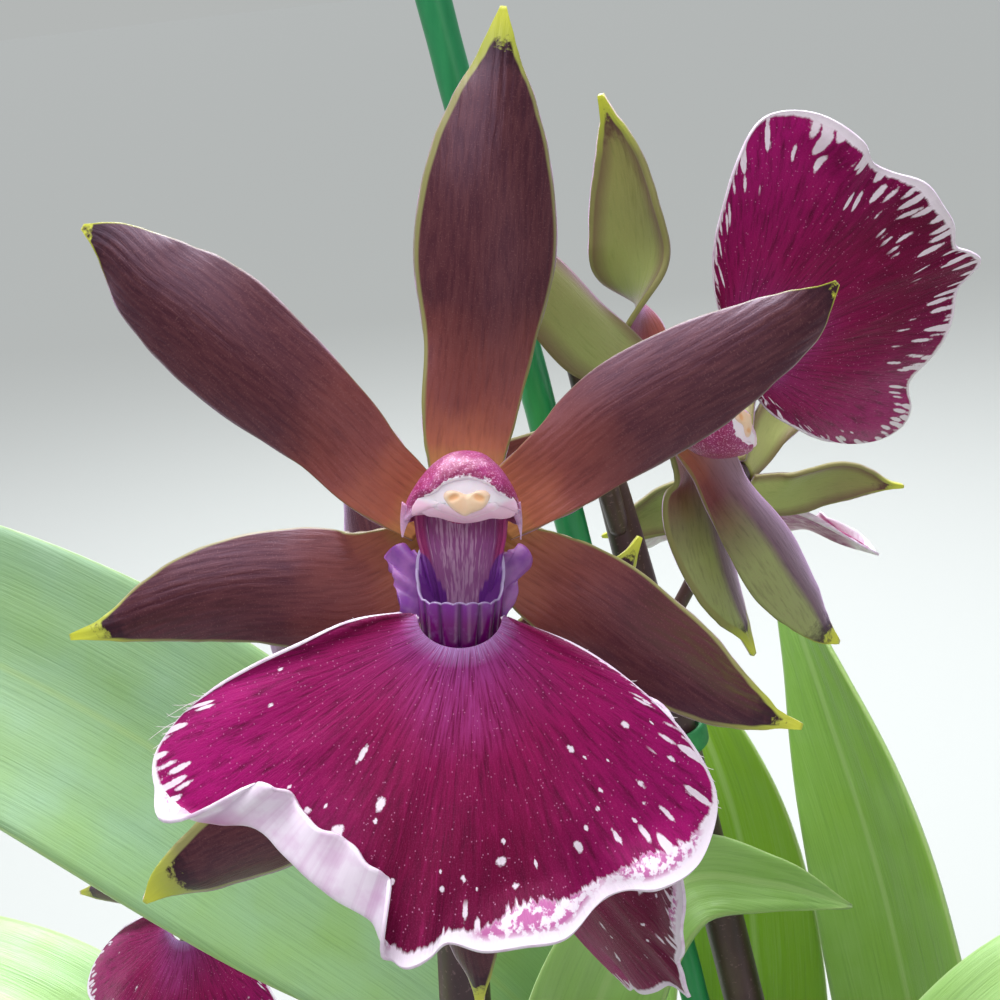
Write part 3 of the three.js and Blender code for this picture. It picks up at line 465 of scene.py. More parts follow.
def makeLipPaint():
    # orchid lip: thin velvety tissue, crimson with darker rays, white at the hem
    p = layeredPaint("lip velvet, crimson rays")
    rayIndex, rayT, rayMm, hemMm, whiteMm, streakMm, fleckMm, lipX, lipY, rolledBand = p.read(
        "rayIndex", "rayT", "rayMm", "hemMm", "whiteMm", "streakMm", "fleck", "lipX", "lipY", "rolledBand")
    flat = p.combine(lipX, lipY)
    vein = p.noise(p.combine(rayIndex, p.times(rayMm, 0.06)), 3.4, 6, 0.66)
    broken = p.noise(p.combine(p.times(rayIndex, 2.2), p.times(rayMm, 0.12)), 2.3, 4, 0.6)
    ragged = p.noise(flat, 1.7, 4, 0.6)
    away = p.math("ABSOLUTE", lipX)
    p.colour = p.ramp(rayT, [(0.0, "#a23c8c"), (0.16, "#962064"), (0.4, "#880c4a"), (0.7, "#6e0234"),
                             (1.0, "#660232")])
    p.lay("#aa0c70", p.step(away, 7, 24, 0.75))
    p.lay("#4a0222", p.step(vein, 0.52, 0.3, 0.85))
    p.lay("#a81a62", p.step(vein, 0.56, 0.76, 0.6))
    p.lay("#c04a8c", p.step(p.noise(flat, 6.5, 3, 0.7), 0.5, 0.7, 0.18))
    # lavender rays that fan out from under the crest
    middle = p.step(away, 7.5, 2)
    p.lay("#ae4898", p.times(p.step(rayMm, 12, 0.5), middle, p.step(vein, 0.4, 0.62)))
    p.lay("#c4a0de", p.times(p.step(rayMm, 2.1, 0.2), p.step(broken, 0.36, 0.6),
                             p.math("MULTIPLY_ADD", middle, 0.7, 0.3)))
    # painted glints: the fine glitter of the velvet's cells as pale pink dots, drawn coarser than the real 0.05 mm so
    # that it shows
    p.lay("#e79ac6", p.step(p.cells(flat, 1.9, 1.0), 0.17, 0.08, 0.5))
    # white: the flecks, the streaks that run in from the hem, and the hem itself
    fleck = p.step(p.plus(fleckMm, p.math("MULTIPLY_ADD", ragged, 1.3, -0.65)), 0.02, 0.32, 0.95)
    ratio = p.math("DIVIDE", hemMm, streakMm)
    dash = p.cells(p.combine(p.times(rayIndex, 3.1), p.times(rayMm, 0.21)), 1.0, 0.85)
    dash = p.math("MULTIPLY_ADD", ragged, -0.22, dash)
    streak = p.step(p.math("SUBTRACT", p.math("MULTIPLY_ADD", ratio, -0.3, 0.42), dash), 0.0, 0.07, 0.92)
    streak = p.times(streak, p.step(ratio, 1.1, 0.9))
    hem = p.times(whiteMm, p.math("MULTIPLY_ADD", broken, 1.0, 0.5))
    hem = p.step(p.math("SUBTRACT", hem, hemMm), -0.12, 0.22)
    p.lay("#f3e6f4", p.math("MAXIMUM", p.math("MAXIMUM", streak, hem), fleck))
    # magenta blotches on the broad white folds of the hem
    blotch = p.step(p.noise(flat, 0.95, 3, 0.6), 0.47, 0.54, 0.85)
    p.lay("#b83c94", p.times(blotch, p.step(whiteMm, 1.6, 2.2), hem, p.step(hemMm, 0.9, 1.6),
                             p.math("SUBTRACT", 1.0, rolledBand, clamp=True)))
    return p.finish(0.5, {
        "Specular IOR Level": 0.22, "Specular Tint": "#f0b8e4", "Sheen Weight": 0.2, "Sheen Tint": "#e8b4dc",
        "Sheen Roughness": 0.35}, vein, 0.35, 0.8)


def makeLipBackPaint():
    # the same tissue from behind: white with a mauve bloom, and soft veins
    p = layeredPaint("lip underside, white and mauve")
    rayIndex, rayMm, hemMm, lipX, lipY = p.read("rayIndex", "rayMm", "hemMm", "lipX", "lipY")
    vein = p.noise(p.combine(rayIndex, p.times(rayMm, 0.08)), 2.6, 4)
    p.colour = p.ramp(p.step(hemMm, 5.5, 12), [(0.0, "#f1e2f3"), (0.5, "#c583b4"), (1.0, "#9a3c80")])
    p.lay("#dcb4d8", p.step(p.noise(p.combine(lipX, lipY), 0.45, 3), 0.45, 0.7, 0.55))
    p.lay("#c486ba", p.step(vein, 0.5, 0.32, 0.4))
    return p.finish(0.45, {}, vein, 0.25, 0.6)


def makeCrestPaint():
    # the crest is hard, wet-looking wax: near black-purple ribs, with painted shade in the grooves between them,
    # under a pale lavender line along the rim that is a painted highlight
    p = layeredPaint("crest wax, dark purple")
    rimMm, inside, climb, ribPlace = p.read("rimMm", "inside", "climb", "ribPlace")
    cloud = p.noise(p.placeIn("Object"), 900, 4)
    p.colour = p.ramp(climb, [(0.0, "#520050"), (0.55, "#6a0464"), (1.0, "#7c2890")])
    p.lay("#8038a0", inside)
    p.lay("#a678c4", p.step(cloud, 0.55, 0.7, 0.15))
    # painted shade: the grooves between the ribs darkened on the outer wall
    groove = p.step(p.math("PINGPONG", ribPlace, 0.5), 0.3, 0.48, 0.75)
    p.lay("#3a0042", p.times(groove, p.math("SUBTRACT", 1.0, inside)))
    # painted highlight: a pale line along the thin rim
    p.lay("#d8c4f0", p.step(rimMm, 0.4, 0.15, 0.8))
    return p.finish(0.2, {"Coat Weight": 0.3, "Coat Roughness": 0.12}, cloud, 0.05, 0.5)


def makeFleshPaint(name, base, second, scale, amount, roughness, specks=None):
    # soft petal flesh with a slow change of colour, and fine specks where they are given
    p = layeredPaint(name)
    place = p.placeIn("Object")
    cloud = p.noise(place, scale, 4)
    p.colour = p.plain(base)
    p.lay(second, p.step(cloud, 0.35, 0.65, amount))
    if specks:
        p.lay(specks, p.step(p.noise(place, 4600), 0.54, 0.66, 0.65))
    return p.finish(roughness, {"Subsurface Weight": 0.12, "Subsurface Scale": 0.002}, cloud, 0.15, 0.5)


def makeHoodPaint():
    p = makeFleshPaint("hood skin, magenta with pale specks", "#8c1452", "#a43479", 420, 0.7, 0.4, "#e4a0cc")
    browMm, flapPale = p.read("browMm", "flapPale")
    tear = p.math("MULTIPLY_ADD", p.noise(p.placeIn("Object"), 1300, 3), 2.6, -1.3)
    p.lay("#dcb4da", flapPale)
    p.lay("#f8e8f4", p.step(p.plus(browMm, tear), 0.1, -0.15))
    return p


def makeBedPaint():
    p = makeFleshPaint("stigma bed, pink-white wax", "#fbf0f8", "#f3d6e8", 300, 0.5, 0.3)
    bedPink, = p.read("bedPink")
    # pink lines along the bed's folds, and painted shade: a darker pink where the bed rounds back under at its lower
    # edge
    p.lay("#eeb0cf", p.math("MULTIPLY", bedPink, 0.75, clamp=True))
    return p


def makeCapPaint():
    p = makeFleshPaint("anther cap, cream wax", "#f8d4b4", "#f4c29c", 600, 0.5, 0.32)
    capDent, capR = p.read("capDent", "capR")
    p.lay("#f8dcd2", p.step(capR, 0.55, 1.0, 0.8))
    p.lay("#f0ae76", p.step(capDent, 0.1, 0.8, 0.8))
    return p


def makeThroatPaint():
    # the column's face: white strands on mauve between magenta cheeks, darker at the top with painted shade under the
    # bed
    p = layeredPaint("striped throat flesh")
    throatQ, throatV, wallMm = p.read("throatQ", "throatV", "wallMm")
    strands = p.combine(throatQ, p.times(throatV, 0.07))
    swayed = p.math("MULTIPLY_ADD", p.noise(strands, 5), 0.06, throatQ)
    wave = p.math("SINE", p.times(swayed, 56))
    strand = p.plus(wave, p.math("MULTIPLY_ADD", p.noise(strands, 60, 2, 0.6), 4.0, -2.0))
    # the colour darkens towards the top, under the bed: painted shade
    p.colour = p.ramp(throatV, [(0.0, "#8a3272"), (0.3, "#a85e9c"), (1.0, "#b878ae")])
    p.lay("#e2b4d6", p.step(strand, 0.55, 1.1, 0.75))
    p.lay("#843478", p.step(strand, -0.5, -1.1, 0.45))
    p.lay("#b8307c", p.times(p.step(p.math("ABSOLUTE", throatQ), 0.8, 0.88, 0.9), p.step(throatV, 0.75, 0.4)))
    # painted shade at the top of the throat, under the bed's overhang
    p.lay("#5a1440", p.step(throatV, 0.3, 0.12, 0.45))
    # the inner walls of the crest carry on as dark purple beside the strands
    p.lay("#8038a0", p.step(wallMm, -0.12, 0.1))
    return p.finish(0.32, {}, strand, 0.06, 0.7)


def makeLeafPaint(name, upper):
    # strap leaf: thin, satin, with fine lengthwise nerves; paler and duller underneath
    p = layeredPaint(name)
    acrossMm, alongMm, alongT, edgeMm, leafTone = p.read("acrossMm", "alongMm", "alongT", "edgeMm", "leafTone")
    nerve = p.noise(p.combine(acrossMm, p.times(alongMm, 0.025), leafTone), 2.4, 4, 0.6)
    cloud = p.noise(p.combine(acrossMm, alongMm, leafTone), 0.06, 3)
    if upper:
        # the palest, grey-green stops at the low end paint a sky reflection, which leaf_01 wears
        stops = [(0.0, "#b2d2b6"), (0.2, "#98c094"), (0.45, "#92bb6a"), (0.75, "#7eac42"), (1.0, "#7aa81c")]
    else:
        stops = [(0.0, "#7c9c70"), (0.5, "#86a65e"), (1.0, "#9aba50")]
    p.colour = p.ramp(p.plus(leafTone, p.math("MULTIPLY_ADD", cloud, 0.5, -0.25)), stops)
    p.lay("#a4c486", p.step(nerve, 0.52, 0.75, 0.16))
    p.lay("#2f5c2c", p.step(nerve, 0.48, 0.3, 0.16))
    p.lay("#a8c67c", p.step(p.math("ABSOLUTE", acrossMm), 0.9, 0.3, 0.4))
    p.lay("#b3bd78", p.step(alongT, 0.16, 0.02, 0.6))
    p.lay("#b4cc84", p.step(edgeMm, 0.45, 0.1, 0.5))
    return p.finish(0.38 if upper else 0.55, {"Sheen Weight": 0.15}, nerve, 0.3, 0.6)


def makePlainPaint(name, stops, scale, roughness, bump, stretch=(1, 1, 1)):
    # one noise on Object coordinates, stretched along the way that the stuff was made or grew
    p = layeredPaint(name)
    laid = p.add("Mapping", {"Scale": stretch}, [p.placeIn("Object")])
    grain = p.noise(laid, scale, 5, 0.6)
    p.colour = p.ramp(grain, stops)
    return p.finish(roughness, {}, grain, bump, 0.6)


def makeBarkPaint():
    # fir bark chips: corky, matt, each chip its own brown
    p = makePlainPaint("fir bark", [(0.25, "#2c1a11"), (0.5, "#5c3a25"), (0.75, "#8a6040")],
                       260, 0.9, 0.8, (1, 1, 2.6))
    chipTone, = p.read("chipTone")
    p.lay(p.ramp(chipTone, [(0.0, "#33211a"), (0.4, "#6b4028"), (0.8, "#9c6c42"), (1.0, "#b08a5e")]), 0.5)
    return p


def makeStemPaint():
    # flower stem: green flesh flushed dark maroon, satin
    p = makePlainPaint("flower stem, maroon flushed", [(0.3, "#2c1820"), (0.52, "#4a2c34"), (0.72, "#5e4a40"),
                                                       (0.85, "#77804a")], 130, 0.4, 0.15, (1, 1, 0.25))
    p.lay("#8a6a70", p.step(p.noise(p.placeIn("Object"), 1500), 0.62, 0.7, 0.4))
    return p


tepalFace = makeTepalPaint("tepal face, maroon brown", True)
tepalBack = makeTepalPaint("tepal back, green flushed maroon", False)
lipFace = makeLipPaint()
lipBack = makeLipBackPaint()
crestWax = makeCrestPaint()
hoodSkin = makeHoodPaint()
bedWax = makeBedPaint()
capWax = makeCapPaint()
throatStripe = makeThroatPaint()
earFlesh = makeFleshPaint("ear flesh, lavender purple", "#7e3e98", "#bc7cc2", 260, 0.9, 0.34)
leafUpper = makeLeafPaint("leaf upper side", True)
leafUnder = makeLeafPaint("leaf underside", False)
bulbSkin = makePlainPaint("pseudobulb skin, smooth green", [(0.3, "#567a34"), (0.55, "#7c9c48"), (0.75, "#a0b060")],
                          70, 0.36, 0.3, (3, 3, 0.35))
drySheath = makePlainPaint("dry papery sheath", [(0.3, "#8a6c48"), (0.5, "#b89c70"), (0.72, "#d2bc92")],
                           240, 0.75, 0.35, (3, 3, 0.3))
barkChip = makeBarkPaint()
mossCushion = makePlainPaint("moss cushion", [(0.3, "#2f4418"), (0.5, "#557a2a"), (0.7, "#8cab48")], 900, 0.95, 0.8)
potPlastic = makePlainPaint("moulded polypropylene, brown", [(0.3, "#4e2f22"), (0.55, "#5b382a"), (0.8, "#664234")],
                            55, 0.42, 0.12, (1, 1, 0.5))
stakeCoat = makePlainPaint("green coated stake", [(0.3, "#187f4c"), (0.55, "#25935a"), (0.8, "#3ea468")],
                           300, 0.34, 0.08, (1, 1, 0.15))
tieVinyl = makePlainPaint("soft vinyl tie", [(0.3, "#1f7f45"), (0.7, "#379a58")], 300, 0.55, 0.1)
hairPaint = makePlainPaint("fine plant hair, pale", [(0.3, "#e6d8dc"), (0.7, "#f6eef0")], 300, 0.5, 0.1)
flowerStem = makeStemPaint()
print("materials ready")

potForm = {"height": 125, "rimRadius": 77, "footRadius": 59, "wall": 2.2, "bandFoot": 111,
           "rimStep": 2.4, "sides": 120, "holeRadius": 4, "holeRing": 37, "holes": 5, "sharpEdge": 35}


def potInside(z):
    low = potForm["footRadius"] - potForm["wall"]
    high = potForm["rimRadius"] - potForm["rimStep"] - potForm["wall"]
    return mix(low, high, (z - potForm["wall"]) / (potForm["bandFoot"] - potForm["wall"]))


def makePot():
    rim, foot, wall = potForm["rimRadius"], potForm["footRadius"], potForm["wall"]
    band, top = potForm["bandFoot"], potForm["height"]
    profile = [(foot - 0.8, 0), (foot, 1), (foot + 1.4, 10), (rim - 2.4, band), (rim - 0.6, band + 0.7),
               (rim, band + 1.8), (rim, top - 0.9), (rim - 0.5, top - 0.2), (rim - 1.2, top),
               (rim - 2.2, top - 0.2), (rim - 3, top - 1.4), (potInside(band), band), (potInside(wall), wall)]
    deselectAll()
    bpy.ops.mesh.primitive_circle_add(vertices=potForm["sides"], radius=profile[0][0] * mm, fill_type="NGON")
    pot = bpy.context.object
    bpy.ops.object.mode_set(mode="EDIT")
    bpy.ops.mesh.select_all(action="SELECT")
    for (r0, z0), (r1, z1) in zip(profile, profile[1:]):
        bpy.ops.mesh.extrude_region_move(TRANSFORM_OT_translate={"value": (0, 0, (z1 - z0) * mm)})
        bpy.ops.transform.resize(value=(r1 / r0, r1 / r0, 1), center_override=(0, 0, z1 * mm))
    bpy.ops.object.mode_set(mode="OBJECT")
    outwardFaces(pot)
    for i in range(potForm["holes"]):
        angle = 2 * math.pi * i / potForm["holes"]
        ring = potForm["holeRing"] * mm
        place = (ring * math.cos(angle), ring * math.sin(angle), 0)
        deselectAll()
        bpy.ops.mesh.primitive_cylinder_add(vertices=24, radius=potForm["holeRadius"] * mm, depth=0.02,
                                            location=place)
        drill = bpy.context.object
        applyModifier(pot, "drain", "BOOLEAN", object=drill, operation="DIFFERENCE", solver="EXACT")
        bpy.data.objects.remove(drill)
    smoothShade(pot, potForm["sharpEdge"])
    return finishPiece(pot, "potTub", "pot", "pot_plastic", potPlastic)


barkForm = {"bed": 106.5, "reach": 70, "chips": 210, "seed": 7, "length": (9, 19), "width": (6, 12),
            "depth": (2.6, 5.5), "tilt": 0.55, "margin": 7, "rise": (0.6, 3.6), "jitter": 2, "boxiness": 0.55,
            "lumps": 1.2, "sharpEdge": 50}
goldenAngle = 2.39996


def makeBark():
    # a lumpy bed of fines with chips strewn over it
    def bed(u, v):
        angle = 2 * np.pi * u
        r = barkForm["reach"] * v
        lumps = barkForm["lumps"] * np.sin(r * 0.31 + 3 * angle) * np.cos(r * 0.23 - 2 * angle)
        z = barkForm["bed"] + lumps * (1 - smooth(0.9, 1, v)) - 3 * smooth(0.9, 1, v)
        return np.stack([r * np.cos(angle), r * np.sin(angle), z], -1), {}
    ground = closedGrid("barkBed", 72, 24, bed)
    thicken(ground, 4, -1)
    deselectAll()
    bpy.ops.mesh.primitive_cube_add(size=1)
    pattern = bpy.context.object
    applyModifier(pattern, "round", "SUBSURF", levels=2, render_levels=2)
    blank = pointsOf(pattern)
    blank = np.sign(blank) * np.abs(blank / np.abs(blank).max()) ** barkForm["boxiness"] * 0.5
    dice = random.Random(barkForm["seed"])
    chips = []
    for i in range(barkForm["chips"]):
        piece = pattern.copy()
        piece.data = pattern.data.copy()
        bpy.context.collection.objects.link(piece)
        size = np.array([dice.uniform(*barkForm[k]) for k in ("length", "width", "depth")])
        phase = [dice.uniform(0, 6.28) for _ in range(6)]
        p = blank * size
        p = p + np.stack([0.09 * size[n] * np.sin(blank[:, (n + 1) % 3] * 5 + phase[n]) for n in range(3)], -1)
        turns = Matrix.Rotation(dice.uniform(0, 6.28), 3, "Z") @ Matrix.Rotation(
            dice.gauss(0, barkForm["tilt"]), 3, "X") @ Matrix.Rotation(dice.gauss(0, barkForm["tilt"]), 3, "Y")
        p = p @ np.array(turns).T
        angle = goldenAngle * i
        r = (barkForm["reach"] - barkForm["margin"]) * math.sqrt((i + 0.5) / barkForm["chips"])
        height, jitter = barkForm["bed"] + dice.uniform(*barkForm["rise"]), barkForm["jitter"]
        p = p + [r * math.cos(angle) + dice.uniform(-jitter, jitter),
                 r * math.sin(angle) + dice.uniform(-jitter, jitter), height]
        movePoints(piece, p)
        writeField(piece, "chipTone", np.full(len(p), dice.random()))
        chips.append(piece)
    bpy.data.objects.remove(pattern)
    writeField(ground, "chipTone", np.full(len(ground.data.vertices), 0.1))
    bark = joined("barkChips", [ground] + chips)
    smoothShade(bark, barkForm["sharpEdge"])
    return finishPiece(bark, "barkChips", "bark_mix", "bark", barkChip)


mossForm = {"tufts": 34, "seed": 11, "reach": 64, "spread": (3, 7), "rise": 2.4, "seat": 1.6}


def makeMoss():
    # cushions of moss that grow between the chips, each a low dome with a rough top
    dice = random.Random(mossForm["seed"])
    tufts = []
    for _ in range(mossForm["tufts"]):
        angle, r = dice.uniform(0, 6.28), mossForm["reach"] * math.sqrt(dice.random())
        spread, phase = dice.uniform(*mossForm["spread"]), dice.uniform(0, 6.28)
        deselectAll()
        bpy.ops.mesh.primitive_ico_sphere_add(subdivisions=3, radius=1)
        tuft = bpy.context.object
        p = pointsOf(tuft)
        rough = 1 + 0.16 * np.sin(p[:, 0] * 11 + phase) * np.sin(p[:, 1] * 13) + 0.12 * np.sin(p[:, 2] * 17 + phase)
        p = p * rough[:, None] * [spread, spread * 0.8, mossForm["rise"]]
        p = p + [r * math.cos(angle), r * math.sin(angle), barkForm["bed"] + mossForm["seat"]]
        movePoints(tuft, p)
        tufts.append(tuft)
    moss = joined("moss", tufts)
    smoothShade(moss)
    return finishPiece(moss, "moss", "bark_mix", "bark", mossCushion)


stakeForm = {"radius": 2.5, "foot": 72, "head": 472, "sides": 40, "x": 13.3, "y": 15, "z": 385, "lean": -0.15,
             "rows": 160, "ribs": 760, "ribDepth": 0.012}


def stakePoint(z):
    return np.array([stakeForm["x"] + (z - stakeForm["z"]) * stakeForm["lean"], stakeForm["y"], z])


def tube(name, line, radiusAt, rows, columns):
    # a round stem along a line, closed at both ends; u runs round it and v runs up it
    turnRows = np.linspace(0, 1, rows + 1)
    middle, ahead = line.at(turnRows), line.heading(turnRows)
    side = unit(np.cross(ahead, [0.0, 1.0, 0.2]))
    front = np.cross(ahead, side)

    def surface(u, v):
        capped = inner(v, 0.01)
        pick = lambda table: np.stack([np.interp(capped, turnRows, table[:, n]) for n in range(3)], -1)
        angle = -2 * np.pi * u
        radius = radiusAt(capped, angle) * endRound(v, 0.01)
        p = pick(middle) + unit(pick(side)) * (radius * np.cos(angle))[:, None]
        p = p + unit(pick(front)) * (radius * np.sin(angle))[:, None]
        return p, {}
    piece = closedGrid(name, columns, rows, surface, distance=0.005)
    smoothShade(piece)
    return piece


def makeStake():
    line = smoothLine([stakePoint(stakeForm["foot"]), stakePoint(300), stakePoint(stakeForm["head"])])
    ribs = lambda t, a: stakeForm["radius"] * (1 + stakeForm["ribDepth"] * np.sin(t * stakeForm["ribs"]))
    stake = tube("plantStake", line, ribs, stakeForm["rows"], stakeForm["sides"])
    return finishPiece(stake, "plantStake", "stake", "stake_plastic", stakeCoat)


bulbs = [
    {"name": "pseudobulb_1", "x": -20, "y": 2, "height": 62, "radius": 17, "lean": (-0.1, -0.1)},
    {"name": "pseudobulb_2", "x": 20, "y": -10, "height": 58, "radius": 16, "lean": (0.1, -0.14)},
    {"name": "pseudobulb_3", "x": 16, "y": 32, "height": 66, "radius": 17, "lean": (0.06, 0.12)},
    {"name": "pseudobulb_4", "x": -26, "y": 40, "height": 54, "radius": 15, "lean": (-0.16, 0.16)},
    {"name": "pseudobulb_5", "x": -8, "y": -38, "height": 46, "radius": 13, "lean": (-0.04, -0.2)},
]
bulbShape = [[0, 0.42], [0.12, 0.78], [0.32, 1], [0.55, 0.93], [0.78, 0.62], [0.93, 0.36], [1, 0.22]]
bulbForm = {"barkTop": 110, "sink": 9, "ribs": 9, "ribDepth": 0.03, "flat": 0.86, "closing": 0.03,
            "columns": 60, "rows": 40}
sheathForm = {"foot": 0.1, "top": 0.34, "gap": 0.35, "spread": 0.9, "thickness": 0.35, "columns": 76, "rows": 12}


def bulbPlace(spec, t, angle, grow=0.0):
    radius = along(bulbShape, t) * spec["radius"]
    radius = radius * (1 + bulbForm["ribDepth"] * np.cos(bulbForm["ribs"] * angle) * np.sin(np.pi * t)) + grow
    z = bulbForm["barkTop"] - bulbForm["sink"] + spec["height"] * t
    x, y = (spec[axis] + lean * (z - bulbForm["barkTop"]) for axis, lean in zip("xy", spec["lean"]))
    return np.stack([x + radius * np.cos(angle), y + bulbForm["flat"] * radius * np.sin(angle), z], -1)


def makeBulb(spec):
    def skin(u, v):
        angle = 2 * np.pi * u
        t = inner(v, bulbForm["closing"])
        p = bulbPlace(spec, t, angle)
        closing = np.minimum(np.minimum(v, 1 - v) / bulbForm["closing"], 1)[:, None]
        centre = (p + bulbPlace(spec, t, angle + np.pi)) / 2
        return centre + (p - centre) * closing, {}

    def sheath(u, v):
        # the dry leaf bases that wrap its foot, torn at the top
        angle = 2 * np.pi * u
        torn = sheathForm["top"] + 0.07 * np.sin(3 * angle + spec["x"]) + 0.04 * np.sin(11 * angle)
        flare = sheathForm["spread"] * v ** 3 * (1 + 0.4 * np.sin(7 * angle))
        return bulbPlace(spec, mix(sheathForm["foot"], torn, v), angle, sheathForm["gap"] + flare), {}
    bulb = closedGrid("bulb", bulbForm["columns"], bulbForm["rows"], skin)
    smoothShade(bulb)
    wrap = closedGrid("bulbSheath", sheathForm["columns"], sheathForm["rows"], sheath)
    thicken(wrap, sheathForm["thickness"], 1)
    smoothShade(wrap)
    finishPiece(bulb, spec["name"] + "_skin", spec["name"], "pseudobulb", bulbSkin)
    finishPiece(wrap, spec["name"] + "_sheath", spec["name"], "pseudobulb", drySheath)


leafShape = [[0, 0.3], [0.12, 0.3], [0.3, 0.6], [0.48, 0.96], [0.62, 1], [0.8, 0.74], [0.92, 0.36], [1, 0.03]]
leaves = {
    # leaf_01: its low tone, which rises towards its foot, paints a pale grey-green sky reflection that is strongest
    # at its tip
    "leaf_01": {"width": 50, "faces": (0.15, -0.75, 0.5), "tone": 0.15, "points": [
        (19, 38, 163), (14, 31, 225), (-3, 22, 277), (-39, 28, 312), (-72, 36, 338), (-112, 48, 358),
        (-155, 61, 366), (-198, 72, 360)], "sheenFadeToFoot": 0.3},
    "leaf_02": {"width": 34, "faces": (-0.8, -0.5, 0.4), "tone": 0.75, "points": [
        (50, -8, 105), (64, -6, 180), (71, 8, 236), (69, 30, 282), (64, 57, 314), (60, 80, 336)]},
    "leaf_03": {"width": 36, "faces": (-0.8, -0.6, 0.3), "tone": 0.35, "points": [
        (52, -20, 105), (78, -15, 180), (98, -4, 240), (107, 11, 282), (105, 29, 306), (99, 50, 326)]},
    "leaf_04": {"width": 34, "tone": 0.55, "points": [
        (25, -18, 158), (42, -24, 232), (64, -22, 282), (90, -16, 297), (122, -10, 288), (156, 0, 256)]},
    "leaf_05": {"width": 30, "faces": (-0.3, -0.8, 0.5), "tone": 1.0, "points": [
        (30, 50, 105), (40, 46, 190), (45, 42, 250), (45, 50, 286), (40, 62, 308), (32, 82, 322)]},
    "leaf_06": {"width": 24, "faces": (0, -0.6, 0.8), "tone": 0.6, "points": [
        (19, -6, 158), (8, 2, 230), (10, 4, 285), (27, 7, 309), (43, 11, 304), (58, 16, 294)]},
    "leaf_07": {"width": 40, "tone": 0.3, "points": [
        (-38, -14, 105), (-64, -26, 172), (-106, -46, 206), (-152, -70, 202), (-192, -92, 172)]},
    "leaf_08": {"width": 42, "tone": 0.4, "points": [
        (-41, 46, 105), (-68, 62, 190), (-114, 80, 240), (-166, 98, 250), (-216, 112, 230)]},
    "leaf_09": {"width": 42, "tone": 0.5, "points": [
        (8, 55, 105), (12, 84, 190), (20, 118, 240), (30, 160, 250), (40, 204, 230)]},
    "leaf_10": {"width": 34, "tone": 0.6, "points": [
        (-8, -53, 105), (-10, -82, 162), (-16, -122, 178), (-24, -162, 160)]},
    "leaf_11": {"width": 38, "tone": 0.35, "points": [
        (-26, -2, 162), (-42, -8, 230), (-68, -18, 274), (-102, -30, 284), (-144, -42, 262)]},
}
leafForm = {"thickness": 1.0, "columns": 24, "rows": 84, "nerves": 5, "nerveDepth": 0.14, "wave": 0.9,
            "footFold": 1.05, "bladeFold": 0.24}


def makeLeaf(name, spec):
    line = smoothLine(spec["points"])
    heading = line.at([1.0])[0] - line.at([0.0])[0]
    heading[2] = 0
    heading = unit(heading)
    faces = np.array(spec.get("faces", (0, 0, 1)), float)

    def blade(u, v):
        q = 2 * u - 1
        ahead = line.heading(v)
        blend = smooth(0, 0.35, v)[:, None]
        hint = -heading * (1 - blend) + faces * blend
        side = unit(np.cross(ahead, hint))
        face = np.cross(side, ahead)
        half = spec["width"] / 2 * along(leafShape, v)
        fold = mix(leafForm["footFold"], leafForm["bladeFold"], smooth(0, 0.45, v))
        ridge = leafForm["nerveDepth"] * np.cos(q * np.pi * leafForm["nerves"]) * smooth(0.1, 0.4, v)
        ripple = leafForm["wave"] * q ** 2 * np.sin(v * 17 + q * 1.5 + spec["width"]) * smooth(0.3, 0.6, v)
        soft = np.sqrt(q * q + 0.004) - 0.0632
        lift = half * soft * np.sin(fold) + (ridge + ripple) * (1 - smooth(0.9, 1, v))
        p = line.at(v) + side * (half * q * np.cos(fold))[:, None] + face * lift[:, None]
        fields = {"acrossMm": q * half, "alongMm": v * line.length, "acrossT": q, "alongT": v,
                  "edgeMm": half * (1 - np.abs(q)), "leafTone": spec["tone"] + spec.get("sheenFadeToFoot", 0) * (1 - v)}
        return p, fields
    leaf = shapedGrid(name, leafForm["columns"], leafForm["rows"], blade)
    thicken(leaf, leafForm["thickness"], material_offset=1, use_even_offset=False)
    smoothShade(leaf)
    finishPiece(leaf, name + "_blade", name, "leaf", leafUpper, leafUnder)


spikes = {
    "front": {"path": [(-24, -22, 104), (-18, -20, 200), (-9.7, -16, 307), (-7, -14, 350), (-4, -13, 382)],
              "radius": [[0, 4.6], [0.6, 4.3], [0.85, 3.4], [1, 1.8]], "collars": [0.2, 0.5]},
    "rear": {"path": [(50, 30, 104), (54, 25, 160), (48, 19, 215), (38.5, 18, 275), (27, 18, 350),
                      (21.5, 18, 382), (17.5, 17, 404)],
             "radius": [[0, 4.2], [0.6, 3.6], [0.85, 3], [1, 1.6]], "collars": [0.2, 0.42]},
    "left": {"path": [(-46, 34, 104), (-58, 44, 180), (-64, 56, 240), (-64, 62, 274)],
             "radius": [[0, 3.8], [0.6, 3.2], [1, 1.8]], "collars": [0.3]},
}
stemForm = {"columns": 28, "rows": 130, "collar": 0.5}
stalkForm = {"radius": 1.7, "ovary": 2.7, "cup": 4.2, "behind": -16, "grooves": 6, "grooveDepth": 0.06,
             "ovaryEnd": -5.5, "cupLine": (-6.6, -4, -1.2), "y": -1, "columns": 24, "rows": 50, "cupRows": 30}
bractForm = {"length": 21, "spread": 0.8, "thickness": 0.4, "gap": 0.25, "columns": 40, "rows": 16,
             "sharpEdge": 60}


def bloomMatrix(spec):
    # carries a bloom from its own frame, x right, y up, z out of its face, to the plant's
    out = unit(np.array(spec["faces"], float))
    rise = np.array(spec["up"], float)
    rise = unit(rise - rise.dot(out) * out)
    carried = np.eye(4)
    size = spec.get("size", 1)
    carried[:3, 0], carried[:3, 1], carried[:3, 2] = np.cross(rise, out) * size, rise * size, out * size
    carried[:3, 3] = spec["centre"]
    return carried


